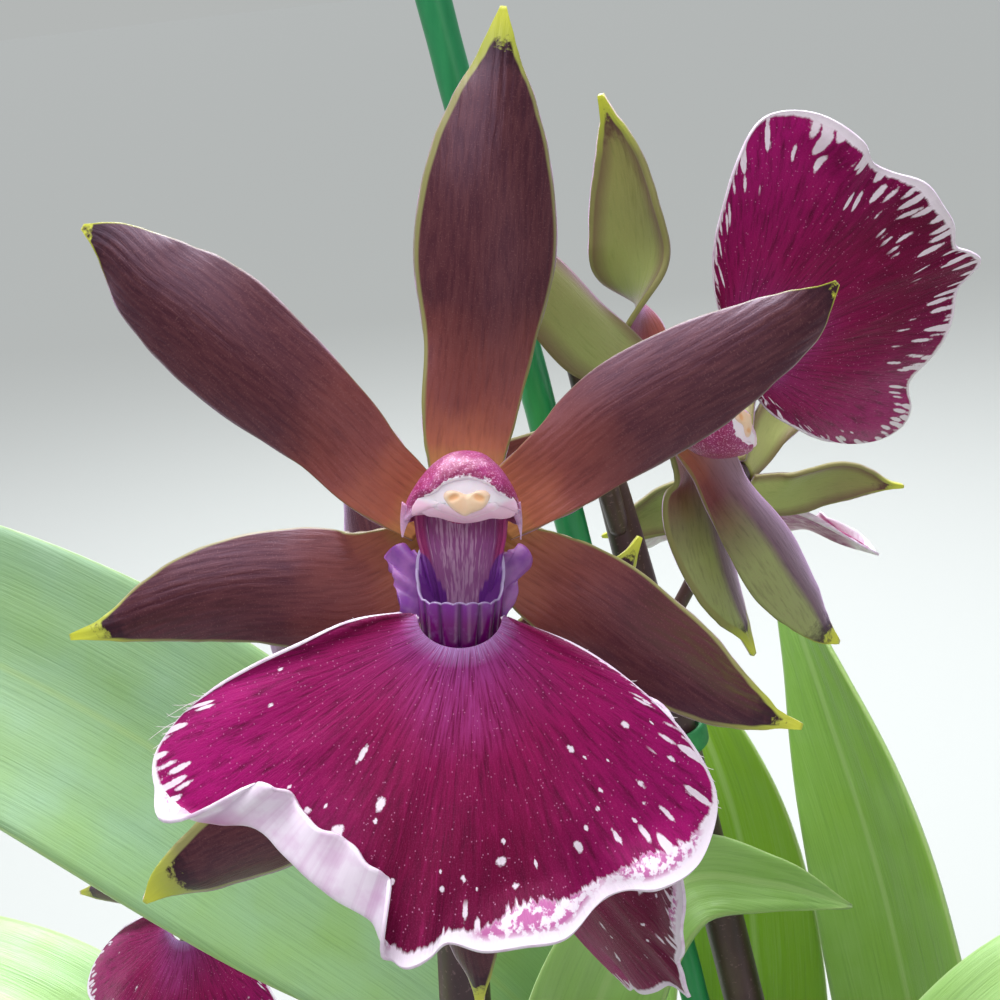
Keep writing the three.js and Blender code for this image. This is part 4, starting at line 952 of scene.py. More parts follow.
def makeBract(line, spike, t):
    # a papery bract that wraps the stem and ends in a point on one side
    def wrap(u, v):
        angle = -2 * np.pi * u
        top = t + (bractForm["length"] * (0.35 + 0.65 * np.cos(angle / 2) ** 2)) / line.length / 2
        low = t - bractForm["length"] / line.length / 2
        place = low + (top - low) * v
        radius = along(spike["radius"], place) + bractForm["gap"] + bractForm["spread"] * v ** 2
        ahead = line.heading(place)
        side = unit(np.cross(ahead, [0.0, 1.0, 0.2]))
        front = np.cross(ahead, side)
        p = line.at(place) + side * (radius * np.cos(angle))[:, None] + front * (radius * np.sin(angle))[:, None]
        return p, {}
    bract = closedGrid("bract", bractForm["columns"], bractForm["rows"], wrap)
    thicken(bract, bractForm["thickness"], 1)
    smoothShade(bract, bractForm["sharpEdge"])
    return bract


def makeStalk(spec):
    # the flower's own stalk, which swells into the ovary, and the cup that holds its petals
    matrix = bloomMatrix(spec)
    size = spec.get("size", 1)
    onAxis = lambda z: carry(matrix, (0, stalkForm["y"], z))
    start, behind = np.array(spec["joins"], float), onAxis(stalkForm["behind"])
    bend = (start + behind) / 2 + (0, 0, -2)
    line = smoothLine([start, bend, behind, onAxis(stalkForm["ovaryEnd"])])
    groove = lambda t, a: 1 + stalkForm["grooveDepth"] * np.cos(stalkForm["grooves"] * a) * smooth(0.35, 0.6, t)
    ribbed = lambda t, a: size * mix(stalkForm["radius"], stalkForm["ovary"], smooth(0.35, 0.8, t)) * groove(t, a)
    stalk = tube("stalk", line, ribbed, stalkForm["rows"], stalkForm["columns"])
    cupLine = smoothLine([onAxis(z) for z in stalkForm["cupLine"]])
    cupRadius = lambda t, a: size * mix(stalkForm["ovary"], stalkForm["cup"], t ** 0.7)
    return [stalk, tube("cup", cupLine, cupRadius, stalkForm["cupRows"], stalkForm["columns"])]


def makeSpike(key):
    spike = spikes[key]
    line = smoothLine(spike["path"])
    nodeRing = lambda t: sum(stemForm["collar"] * np.exp(-((t - c + 0.035) * 60) ** 2) for c in spike["collars"])
    ringed = lambda t, a: along(spike["radius"], t) + nodeRing(t)
    stem = tube("stem", line, ringed, stemForm["rows"], stemForm["columns"])
    parts = [stem]
    for spec in blooms.values():
        if spec["spike"] == key:
            parts += makeStalk(spec)
    stem = joined(key + "Spike", parts)
    smoothShade(stem)
    finishPiece(stem, key + "Spike", key + "_spike", "flower_stem", flowerStem)
    bracts = joined(key + "Bracts", [makeBract(line, spike, t) for t in spike["collars"]])
    finishPiece(bracts, key + "Bracts", key + "_spike", "flower_stem", drySheath)


tieForm = {"height": 4, "wall": 1.3, "clearance": 0.35, "levels": (262, 330), "boxiness": 0.6,
           "columns": 96, "rows": 20}


def makeTie(number, z):
    # a soft band that runs round the stake and round the stem in one loop
    spike = spikes["rear"]
    line = smoothLine(spike["path"])
    samples = np.linspace(0, 1, 801)
    t = float(np.interp(z, line.at(samples)[:, 2], samples))
    start = stakePoint(z)
    offset = line.at([t])[0] - start
    upward = unit(stakePoint(z + 1) - start)
    apart = float(np.linalg.norm(offset))
    across = unit(offset - offset.dot(upward) * upward)
    sideways = np.cross(upward, across)
    near, far = stakeForm["radius"], float(along(spike["radius"], t))
    lean = math.acos((near - far) / apart)
    grow = tieForm["clearance"] + tieForm["wall"] / 2
    turnNear, turnFar = 2 * math.pi - 2 * lean, 2 * lean
    straight = apart * math.sin(lean)
    lengths = np.array([turnNear * (near + grow), straight, turnFar * (far + grow), straight])
    marks = np.concatenate([[0], np.cumsum(lengths)]) / lengths.sum()

    def band(u, v):
        corner = lambda a: np.stack([np.cos(a), np.sin(a)], -1)
        first = corner(lean + turnNear * np.clip(u / marks[1], 0, 1))
        third = corner(-lean + turnFar * np.clip((u - marks[2]) / (marks[3] - marks[2]), 0, 1))
        isNear, isFar = u <= marks[1], (u > marks[2]) & (u <= marks[3])
        k2 = np.clip((u - marks[1]) / (marks[2] - marks[1]), 0, 1)[:, None]
        k4 = np.clip((u - marks[3]) / (1 - marks[3]), 0, 1)[:, None]
        low, high = corner(np.array(-lean)), corner(np.array(lean))
        shift = np.array([apart, 0])
        runOut = mix(low * (near + grow), shift + low * (far + grow), k2)
        runBack = mix(shift + high * (far + grow), high * (near + grow), k4)
        loop = np.where((u > marks[3])[:, None], runBack, runOut)
        outward = np.where((u > marks[3])[:, None], high, low)
        loop[isNear], outward[isNear] = (first * (near + grow))[isNear], first[isNear]
        loop[isFar], outward[isFar] = (shift + third * (far + grow))[isFar], third[isFar]
        angle = 2 * np.pi * v
        squared = lambda c: np.sign(c) * np.abs(c) ** tieForm["boxiness"]
        loop = loop + outward * (squared(np.cos(angle)) * tieForm["wall"] / 2)[:, None]
        height = squared(np.sin(angle)) * tieForm["height"] / 2
        p = start + loop[:, :1] * across + loop[:, 1:] * sideways + height[:, None] * upward
        return p, {}
    tie = closedGrid("tie", tieForm["columns"], tieForm["rows"], band)
    smoothShade(tie)
    finishPiece(tie, "softTie_" + str(number), "tie_" + str(number), "tie_plastic", tieVinyl)


blooms = {
    "main": {"prefix": "main_bloom", "spike": "front", "centre": (0, -50, 400), "faces": (0, -0.94, 0.342),
             "up": (0.113, 0.34, 0.934), "joins": (-4, -13, 374), "fine": 1.0, "hairs": True},
    "lower": {"prefix": "lower_bloom", "spike": "front", "centre": (-5.8, -35.5, 364.3),
              "faces": (-0.34, -0.91, -0.23), "up": (-0.93, 0.3, 0.19), "joins": (-8, -14.5, 338),
              "size": 0.92, "lipLift": 12, "fine": 0.5, "rollShare": 0, "whiteShare": 0.6, "poses": {
                  "dorsal_sepal": {"turn": 29, "lean": -29, "curl": -15},
                  "petal_left": {"turn": -19, "lean": 11, "curl": 32, "tip": 7, "margin": 1.1},
                  "petal_right": {"turn": 10, "lean": -42},
                  "lateral_sepal_left": {"turn": -6, "lean": 20},
                  "lateral_sepal_right": {"turn": -12, "lean": -40, "scale": 0.85}}},
    # green 1 in a pose gives a tepal a green half and a painted lilac sheen over the rest
    "rear": {"prefix": "rear_bloom", "spike": "rear", "centre": (29.5, -2.7, 395), "faces": (0.67, -0.73, 0.1),
             "up": (-0.61, -0.62, -0.49), "joins": (23, 17, 370), "lipLift": 22, "fine": 0.62, "streakFloor": 8,
             "whiteShare": 0.4, "rollShare": 0, "poses": {
                 "dorsal_sepal": {"lean": -48},
                 "petal_left": {"turn": 36, "lean": 5, "curl": 22, "scale": 0.9, "green": 1, "tip": 3},
                 "petal_right": {"turn": -21, "lean": -9, "curl": 14, "scale": 0.9, "turned": True},
                 "lateral_sepal_left": {"turn": -26, "lean": -8, "curl": 15, "scale": 1.1, "green": 1,
                                        "margin": 0.9},
                 "lateral_sepal_right": {"turn": 6, "curl": 9, "twist": 110}}},
    "half": {"prefix": "half_open_bloom", "spike": "rear", "centre": (44, 31, 373), "faces": (0.3, 0.95, 0.02),
             "up": (0, 0, 1), "joins": (27, 18, 348), "lipLift": 32, "size": 0.7, "fine": 0.4, "young": True,
             "poses": {
                 "dorsal_sepal": {"lean": 56}, "petal_left": {"lean": 52}, "petal_right": {"lean": 52},
                 "lateral_sepal_left": {"lean": 30}, "lateral_sepal_right": {"lean": 20}}},
    "left": {"prefix": "left_bloom", "spike": "left", "centre": (-60, 50, 296), "faces": (-0.55, -0.76, 0.34),
             "up": (0.11, 0.34, 0.93), "joins": (-64, 62, 268), "fine": 0.45, "rollShare": 0, "poses": {
                 "petal_left": {"turn": 35}, "petal_right": {"lean": -20}, "dorsal_sepal": {"lean": -30}}},
}

# midrib points from the cup outwards and half-widths along it
tepals = {
    "dorsal_sepal": {"midrib": [(0.2, 3.4, -2.8), (0.6, 10.5, -3.2), (1.8, 19.5, -2.6), (2.4, 28.6, -1.6),
                                (2.9, 38, -1.2), (3.5, 46, -2), (4, 51.5, -3), (4.6, 57.5, -3.4)],
                     "half": [[0, 3.6], [0.14, 5.2], [0.3, 6.1], [0.48, 7.8], [0.66, 6.9], [0.8, 4.7],
                              [0.9, 2.2], [1, 0.35]], "tip": 4.6, "margin": 0.5, "leftMargin": 1.7, "olive": 0.0},
    "petal_left": {"midrib": [(-3.6, 0.4, -0.5), (-9.5, 5, 1.2), (-14.4, 10.2, 2), (-22.4, 17, 2.4),
                              (-28.4, 22.2, 1.8), (-34, 26.4, 0.6), (-38.6, 30.6, -0.8), (-42, 32.4, -1.6)],
                   "half": [[0, 3.4], [0.16, 4.6], [0.3, 5.3], [0.5, 6.5], [0.66, 6.6], [0.82, 4.8],
                            [0.93, 2.2], [1, 0.35]], "tip": 1.3, "margin": 0.14, "olive": 0.0},
    "petal_right": {"midrib": [(3.6, 0.6, -0.5), (10.5, 5.4, 1.2), (17, 10.6, 2.2), (26, 15.8, 2.6),
                               (33, 19.8, 2), (37, 22.2, 1), (39.8, 24.6, 0.2), (41.2, 26, -0.2)],
                    "half": [[0, 3.4], [0.2, 4.9], [0.4, 6.1], [0.6, 5.8], [0.78, 4.2], [0.88, 3],
                             [0.95, 1.4], [1, 0.35]], "tip": 0.8, "margin": 0.1, "olive": 0.0},
    "lateral_sepal_left": {"midrib": [(-4, -3.3, -3), (-11.5, -7.4, -3.2), (-18, -7.6, -2.8),
                                      (-23.5, -7.7, -2.4), (-29, -8.6, -2.2), (-34.4, -10.2, -2.4),
                                      (-39, -12, -3), (-44, -13.2, -3.6)],
                           "half": [[0, 3.4], [0.18, 6], [0.34, 6.6], [0.5, 5.9], [0.66, 4.7], [0.8, 2.8],
                                    [0.9, 1.2], [1, 0.35]], "tip": 4.4, "margin": 0.32, "olive": 0.15},
    "lateral_sepal_right": {"midrib": [(4, -3.1, -3), (9.6, -6.6, -3.2), (15, -10, -2.8), (19.6, -13.4, -2.2),
                                       (24.4, -16.4, -2), (29, -19.6, -2.2), (34, -22, -2.8),
                                       (38, -23.2, -3.2)],
                            "half": [[0, 3.4], [0.18, 5.4], [0.38, 6.1], [0.55, 5.5], [0.7, 4.2], [0.84, 2.4],
                                     [0.93, 1], [1, 0.35]], "tip": 3.4, "margin": 0.55, "olive": 1.0},
}
tepalForm = {"thickness": 0.8, "columns": 40, "rows": 110, "ripple": 0.22, "grain": 0.03,
             "camber": 0.4, "hollow": 0.1, "notch": 0.012}


def posedLine(points, pose):
    # the midrib once its bloom has turned, leaned and curled it
    turn, lean = math.radians(pose.get("turn", 0)), pose.get("lean", 0)
    axis = np.array([[0.0, 0.0, 1.0]])
    turned = rotated(np.array(points, float), axis, np.array([turn]))
    place = rotated(np.array(points[0], float), axis, np.array([turn * 0.4]))[0]
    posed = [place.copy()]
    for i in range(1, len(turned)):
        step = (turned[i] - turned[i - 1]) * pose.get("scale", 1)
        outward = unit(np.array([turned[i][0], turned[i][1], 0.0]))
        hinge = np.cross(outward, [0, 0, 1])
        t = i / (len(turned) - 1)
        swing = math.radians(lean + pose.get("curl", 0) * t * t)
        place = place + rotated(step, hinge, np.array([swing]))[0]
        posed.append(place.copy())
    return smoothLine(posed)


def makeTepal(name, tepal, pose, spec, seed):
    line = posedLine(tepal["midrib"], pose)
    matrix = bloomMatrix(spec)

    def blade(u, v):
        q = 2 * u - 1
        middle, ahead = line.at(v), line.heading(v)
        out = unit(middle * [1, 1, 0])
        hint = np.array([0.0, 0.0, 1.0]) - 2 * ahead[:, 2:] * out
        side = unit(np.cross(ahead, hint))
        side = rotated(side, ahead, np.radians(pose.get("twist", 0)) * smooth(0.08, 0.5, v))
        face = np.cross(side, ahead)
        half = along(tepal["half"], v) * pose.get("scale", 1)
        hollow = tepalForm["hollow"] * half * (1 - smooth(0.1, 0.3, v))
        camber = tepalForm["camber"] * half * smooth(0.12, 0.4, v) * (1 - smooth(0.85, 1, v))
        soft = np.sqrt(q * q + 0.01) - 0.0995
        ripple = tepalForm["ripple"] * q ** 2 * np.sin(v * 13 + 2 * q + seed) * (1 - smooth(0.85, 1, v))
        grain = tepalForm["grain"] * np.sin(q * half * 7 + 0.6 * np.sin(v * 21 + seed)) * (1 - smooth(0.9, 1, v))
        notch = 1 + tepalForm["notch"] * np.sin(v * 61 + seed) * smooth(0.5, 0.9, v)
        lift = hollow * soft - camber * (q * q - 0.35) + ripple + grain
        p = middle + side * (half * q * notch)[:, None] + face * lift[:, None]
        fields = {"acrossMm": q * half, "acrossT": q, "alongT": v, "tipMm": (1 - v) * line.length,
                  "alongMm": v * line.length, "edgeMm": half * (1 - np.abs(q)),
                  "tipYellow": pose.get("tip", tepal["tip"]), "olive": tepal["olive"], "green": pose.get("green", 0),
                  "marginMm": pose.get("margin", tepal["margin"]) * np.where(q < 0, tepal.get("leftMargin", 1), 1),
                  "seed": seed * 7.31}
        return p, fields
    piece = shapedGrid(name, tepalForm["columns"], tepalForm["rows"], blade, matrix, spec["fine"])
    thicken(piece, tepalForm["thickness"], material_offset=1)
    smoothShade(piece)
    node = spec["prefix"] + "_" + name
    paints = [tepalBack if pose.get("turned") or spec.get("young") else tepalFace, tepalBack]
    if pose.get("turned"):
        paints = [tepalBack, tepalFace]
    finishPiece(piece, node + "_blade", node, "tepal", *paints)


# the lip's outline seen face on, from its left shoulder round the hem to its right shoulder
lipOutline = [
    (-6.5, -9.7), (-11.8, -10.6), (-17.2, -13.1), (-22.7, -15.8), (-27.8, -18.9), (-31.2, -22),
    (-33.4, -26), (-32.4, -29.2), (-28.6, -30.8), (-24.6, -30.8), (-21.2, -31.2), (-18, -33.4),
    (-14.6, -35.6), (-11.5, -37.6), (-8.4, -39.4), (-7.2, -41.4), (-5.2, -42.9), (-2.6, -42),
    (-0.9, -40.8), (2.7, -41.4), (6.6, -40.9), (10.6, -40.4), (13.7, -38.1), (16.8, -36.5),
    (20, -36.4), (24.5, -35), (26.6, -32), (27, -28.6), (24.1, -23), (20.4, -19), (16.7, -16),
    (11.9, -13.1), (6.6, -11)]
lipForm = {"columns": 250, "rows": 122, "thickness": 0.42, "footHalf": 4.4, "footTop": -10, "footDrop": 3.2,
           "footZ": 8, "slope": 0.42, "droop": 0.0112, "ruffle": 0.9, "waves": 6, "hemInset": 1.3,
           "hemStart": 0.84, "hinge": -12.5, "folds": [(20.2, 1.25, 2.1), (24.2, 1.1, 2.6)],
           "dips": [(22.3, 0.6, 1.6), (17.6, 0.8, 1.1)]}
hemRoll = {"step": 0.4, "turn": 9, "rollStep": 1, "over": 158, "rollBand": 4.6,
           "starts": 6.7, "full": 8.7, "fades": 14.2, "ends": 15.6, "crimp": 10, "bulge": (8.9, 1.0, 1.2),
           "strokes": 30}
# along the hem, by the outline's points: how wide the white margin is and how far the streaks reach
whiteMargin = [[0, 0.05], [4, 0.1], [5.5, 0.3], [7, 0.9], [9, 1.2], [14, 1.2], [16, 1.5], [18, 1.3],
               [19, 2.2], [20.4, 3.8], [21.8, 2.4], [22.8, 1.9], [24.2, 3.3], [25.6, 1.9], [26.6, 0.9], [28, 0.5],
               [30, 0.15], [32, 0.05]]
streakReach = [[0, 0], [3.6, 0.4], [5, 5], [6.6, 7.5], [8, 4], [9.4, 0.5], [15, 0.4], [17, 1.6],
               [19, 4.4], [21, 4], [22, 2.2], [24, 5.5], [26, 9], [27.5, 8], [29, 4], [30.5, 1.5], [32, 0]]
# white flecks: place in the photograph, half length along its ray, half width, all in pixels;
# flowerPixel is the bloom's own middle, and rayPixel is where the lip's rays start
flowerPixel = (462, 520)
pixelsPerMm = 9.1
rayPixel = (462, 600)
eyeDistance = 160
lipFlecks = [
    (366, 753, 13, 3.4), (385, 803, 9, 5), (380, 820, 4, 3), (342, 830, 8, 7), (312, 810, 5, 4),
    (573, 748, 5, 3.6), (627, 725, 5, 3.4), (587, 757, 3, 2), (643, 783, 9, 2.6), (620, 837, 12, 3),
    (582, 845, 7, 5), (505, 860, 6, 6), (507, 840, 4, 3), (468, 877, 4, 3.4), (520, 885, 5, 4),
    (447, 887, 4, 3), (397, 880, 4, 3.6), (540, 862, 6, 2.2), (648, 702, 6, 1.8), (283, 670, 4, 2),
    (273, 705, 4, 2), (482, 887, 3, 2.4), (603, 790, 4, 2.4), (600, 808, 4, 2.4), (637, 820, 4, 2.4),
    (590, 827, 4, 2.6), (647, 802, 4, 2.4), (653, 722, 3, 2.2), (673, 758, 6, 2.6), (330, 806, 4, 2),
    (293, 786, 4, 2.2), (446, 870, 3, 2), (560, 905, 4, 3), (535, 900, 4, 2.4), (610, 760, 3, 1.6)]


def lipHeight(x, y, t, q):
    away = lipForm["slope"] * (-12 - y) - lipForm["droop"] * x * x
    wave = lipForm["ruffle"] * smooth(0.55, 1, t) * np.sin(lipForm["waves"] * 2 * np.pi * q)
    return lipForm["footZ"] + away + wave


def fleckFields(x, y, z):
    # how deep each point lies in a fleck: 1 at its middle, 0 at its rim
    near = eyeDistance / (eyeDistance - z)
    px, py = flowerPixel[0] + x * pixelsPerMm * near, flowerPixel[1] - y * pixelsPerMm * near
    depth = np.full(len(x), -1.0)
    for fx, fy, long, wide in lipFlecks:
        ray = unit(np.array([fx - rayPixel[0], fy - rayPixel[1]], float))
        dx, dy = px - fx, py - fy
        lengthwise, sideways = dx * ray[0] + dy * ray[1], dx * ray[1] - dy * ray[0]
        depth = np.maximum(depth, 1 - np.sqrt((lengthwise / long) ** 2 + (sideways / wide) ** 2))
    return depth


def lipSurface(q, v, lift, flecks, streakFloor, whiteShare, rollShare):
    # q runs along the outline and v from the foot out to the hem, and on round its rolled edge
    angle = (2 * q - 1) * np.pi / 2
    edgeLine = smoothLine([(x, y, 0) for x, y in lipOutline])
    edge = edgeLine.byIndex(q)
    foot = np.stack([lipForm["footHalf"] * np.sin(angle),
                     lipForm["footTop"] - lipForm["footDrop"] * np.cos(angle), 0 * q], -1)
    reach = edge - foot
    length = np.linalg.norm(reach, axis=1, keepdims=True)
    end = foot + reach * (1 - lipForm["hemInset"] / length)
    t = np.clip(v / lipForm["hemStart"], 0, 1)
    place = q * (len(lipOutline) - 1)

    def bladePoint(t):
        p = foot + (end - foot) * t[:, None]
        p[:, 2] = lipHeight(p[:, 0], p[:, 1], t, q)
        # two folds lift the hem at the lower right, and a crease runs in from its notch
        fold, dip = (sum(height * np.exp(-((place - middle) / width) ** 2) for middle, width, height in lipForm[kind])
                     for kind in ("folds", "dips"))
        p[:, 2] += fold * smooth(0.84, 0.99, t) - dip * smooth(0.7, 0.96, t)
        p[:, 2] += 0.28 * np.sin(q * 47) * smooth(0.25, 0.6, t) * (1 - smooth(0.8, 1, t))
        p[:, 2] += 1.0 * np.exp(-(t / 0.09) ** 2)
        return p

    p = bladePoint(t)
    roll = rollShare * smooth(hemRoll["starts"], hemRoll["full"], place) * (
        1 - smooth(hemRoll["fades"], hemRoll["ends"], place))
    finish = bladePoint(np.ones_like(t))
    out = unit(finish - bladePoint(np.full_like(t, 0.97)))
    rise = unit(np.array([0.0, 0.0, 1.0]) - out[:, 2:] * out)
    share = np.clip((v - lipForm["hemStart"]) / (1 - lipForm["hemStart"]), 0, 1)
    middle, width, height = hemRoll["bulge"]
    band = hemRoll["rollBand"] * (1 + 0.1 * np.sin(place * 2.1 + 1) + 0.03 * np.sin(place * 7)
                                  + height * np.exp(-((place - middle) / width) ** 2))
    total = mix(3 * hemRoll["step"], 2 * hemRoll["rollStep"] + band, roll)
    done = np.zeros(len(q))
    for stroke in (np.arange(hemRoll["strokes"]) + 0.5) / hemRoll["strokes"]:
        curl = np.radians(mix(hemRoll["turn"] * 2.5 * stroke, hemRoll["over"] * smooth(0, 0.34, stroke), roll))
        curl = curl + np.radians(hemRoll["crimp"] * np.sin(place * 3.1 + 0.6) * stroke) * roll
        stride = (total / hemRoll["strokes"] * (share > stroke))[:, None]
        p += out * np.cos(curl)[:, None] * stride + rise * np.sin(curl)[:, None] * stride
        done += stride[:, 0]
    travelled = (length[:, 0] - lipForm["hemInset"]) * t
    whole = length[:, 0] - lipForm["hemInset"] + total
    hemMm = whole - travelled - done
    rolledIn = roll * smooth(0.1, 0.3, share)
    depth = fleckFields(p[:, 0], p[:, 1], p[:, 2]) if flecks else np.full(len(q), -1.0)
    fields = {"rayIndex": place, "rayT": t, "rayMm": travelled, "hemMm": hemMm,
              "whiteMm": along(whiteMargin, place) * whiteShare + 9 * rolledIn,
              "streakMm": np.maximum(along(streakReach, place), streakFloor), "fleck": depth, "rolledBand": rolledIn,
              "lipX": p[:, 0], "lipY": p[:, 1]}
    pivot = np.array([0, lipForm["hinge"], lipForm["footZ"]])
    p = rotated(p - pivot, np.array([[1.0, 0, 0]]), np.full(len(p), -math.radians(lift))) + pivot
    return p, fields


crestForm = {"radius": 4.75, "foot": -13.6, "footRadius": 4.1, "depth": 5, "middle": 3.6, "rim": -8.7, "tips": -2.9,
             "from": -38, "to": 218, "ribs": 7, "ribDepth": 0.42, "lean": 2.6, "rimFrom": 0.47, "rimTo": 0.53,
             "inner": [[-9, 1.9], [-7.5, 2.5], [-5.9, 3.2], [-3.9, 4.0], [-3, 4.4]],
             "innerFloor": [[-9, 3.4], [-5.9, 4.7], [-3, 6.9]], "teeth": 11, "toothDepth": 0.22,
             "columns": 200, "rows": 60, "floorHalf": 2.7, "floorY": (-11.4, -10), "floorZ": (6.0, 1.2)}


def crestSurface(u, v):
    # the ribbed horseshoe wall: v climbs its outer face, passes the thin rim and goes down inside
    turn = np.radians(mix(crestForm["from"], crestForm["to"], u))
    rimFrom, rimTo = crestForm["rimFrom"], crestForm["rimTo"]
    front = smooth(-0.2, 0.7, np.sin(turn))
    climb = np.clip(np.minimum(v, 1 - v) / rimFrom, 0, 1)
    teeth = crestForm["toothDepth"] * (np.abs(np.sin(turn * crestForm["teeth"])) ** 0.6 - 0.5) * front
    rim = mix(crestForm["tips"], crestForm["rim"], smooth(-0.55, 0.75, np.sin(turn))) + teeth
    ribs = crestForm["ribDepth"] * np.abs(np.cos(turn * crestForm["ribs"])) ** 0.6 * front

    def outer(climb):
        radius = mix(crestForm["footRadius"], crestForm["radius"], climb) + ribs * (1 - 0.5 * climb)
        reach = np.where(np.sin(turn) > 0, crestForm["depth"] / crestForm["radius"], 0.5)
        lean = (crestForm["lean"] - 2 * np.minimum(np.sin(turn), 0)) * (1 - front) * climb ** 1.5
        z = crestForm["middle"] + np.sin(turn) * radius * reach + lean
        return np.stack([np.cos(turn) * radius, mix(crestForm["foot"], rim, climb), z], -1)
    p = outer(climb)
    top = outer(np.ones_like(u))
    # the inner wall falls from the rim to the throat's edge
    share = np.clip((v - rimTo) / (1 - rimTo), 0, 1)
    halfWidth = np.minimum(np.abs(top[:, 0]) * 0.96, along(crestForm["inner"], top[:, 1]))
    floorZ = mix(along(crestForm["innerFloor"], top[:, 1]), top[:, 2] - 2.2, front)
    low = np.stack([np.sign(top[:, 0]) * halfWidth, top[:, 1] - mix(0.4, 1.6, front), floorZ], -1)
    thin = np.stack([-0.3 * np.cos(turn), 0 * u, -0.3 * np.sin(turn)], -1)
    sag = np.stack([0 * u, -0.5 * np.sin(share * np.pi), 0 * u], -1)
    within = top + thin + (low - top - thin) * share[:, None] + sag
    over = np.clip((v - rimFrom) / (rimTo - rimFrom), 0, 1)
    onRim = ((v > rimFrom) & (v < rimTo))[:, None]
    ridge = top + thin * over[:, None] + np.stack([0 * u, 0.14 * np.sin(over * np.pi), 0 * u], -1)
    p = np.where((v >= rimTo)[:, None], within, np.where(onRim, ridge, p))
    rimMm = np.where(v < 0.5, (0.5 - v) * 10, (v - 0.5) * 5)
    return p, {"rimMm": rimMm, "inside": smooth(0.51, 0.56, v), "climb": climb,
               "ribPlace": turn * crestForm["ribs"] / np.pi}


# the side ears, seen face on, each from its foot round to the top
earOutlines = {
    1: [(4.2, -10.7), (4.7, -10.2), (5.05, -9.4), (5.5, -8.6), (5.75, -7.9), (6.1, -7.1), (6.1, -6.3),
        (6.5, -5.6), (7.2, -4.9), (7.4, -4.1), (7.2, -3.4), (6.5, -2.9), (5.9, -2.95), (5.35, -3.5),
        (4.8, -3.75), (4.3, -3.7)],
    -1: [(5.2, -10.5), (6.3, -10), (6.5, -9), (6.9, -7.9), (7.0, -7.1), (6.9, -6.2), (7.4, -5.4),
         (7.95, -4.8), (8.1, -4.1), (7.7, -3.4), (7.0, -2.8), (6.35, -2.8), (5.9, -3.35), (5.3, -3.45),
         (4.85, -3.45)]}
earForm = {"rootX": 4.0, "rootY": (-11.0, -4.2), "front": 3.0, "columns": 48, "rows": 20, "thickness": 0.9}


def earSurface(side):
    line = smoothLine([(x, y, 0) for x, y in earOutlines[side]])

    def surface(u, v):
        edge = line.byIndex(u)
        root = np.stack([np.full_like(u, earForm["rootX"]), mix(*earForm["rootY"], u), 0 * u], -1)
        p = root + (edge - root) * v[:, None]
        lobes = 0.55 * np.sin(u * 21 + side) * v ** 2 + 0.7 * np.sin(u * 8 + 0.4) * v ** 1.5
        p[:, 2] = earForm["front"] + 1.2 * v * (1 - u) + lobes - 0.8 * v ** 3 + 0.9 * (1 - v)
        p[:, 0] *= side
        return p, {}
    return surface


clawForm = {"path": [(0, -7.9, -3.4), (0, -9.9, -0.6), (0, -12.4, 3.6), (0, -13.4, 8)], "radii": (1.7, 2.8),
            "rows": 16, "columns": 20}


def clawPiece(name, matrix):
    line = smoothLine([carry(matrix, p) for p in clawForm["path"]])
    scale = np.linalg.norm(matrix[:3, 0])
    return tube(name, line, lambda t, a: scale * mix(*clawForm["radii"], t),
                clawForm["rows"], clawForm["columns"])


# stray fine hairs on the lip's left margin and a short down along both shoulders
hairForm = {"radius": 0.045, "runs": [(4.1, 5.3, 9, 2.6), (0.6, 6.4, 23, 0.7), (26.6, 31.4, 23, 0.7)],
            "rows": 8, "columns": 5, "taper": 0.35}


def makeHairs(matrix, lift, node):
    # each run of hairs: first and last place by the outline's points, how many, how long
    runs = [(np.linspace(first, last, count), np.full(count, length))
            for first, last, count, length in hairForm["runs"]]
    places, reach = (np.concatenate(part) for part in zip(*runs))
    hairs = []
    q = places / (len(lipOutline) - 1)
    root, within = (lipSurface(q, np.full(len(q), v), lift, False, 0.05, 1, 1)[0] for v in (0.985, 0.9))
    for n in range(len(q)):
        out = unit(root[n] - within[n])
        sway = np.array([math.sin(n * 5.1), math.cos(n * 3.7), 0.8 + 0.5 * math.sin(n * 2.3)])
        length = reach[n] * (0.7 + 0.3 * math.sin(n * 7.7))
        points = [root[n] + length * t * (out + 0.5 * sway * t) for t in (0, 0.4, 0.7, 1)]
        line = smoothLine([carry(matrix, p) for p in points])
        hairs.append(tube("hair", line, lambda t, a: hairForm["radius"] * mix(1, hairForm["taper"], t),
                          hairForm["rows"], hairForm["columns"]))
    hair = joined("hairs", hairs)
    smoothShade(hair)
    finishPiece(hair, node + "_hairs", node, "lip", hairPaint)


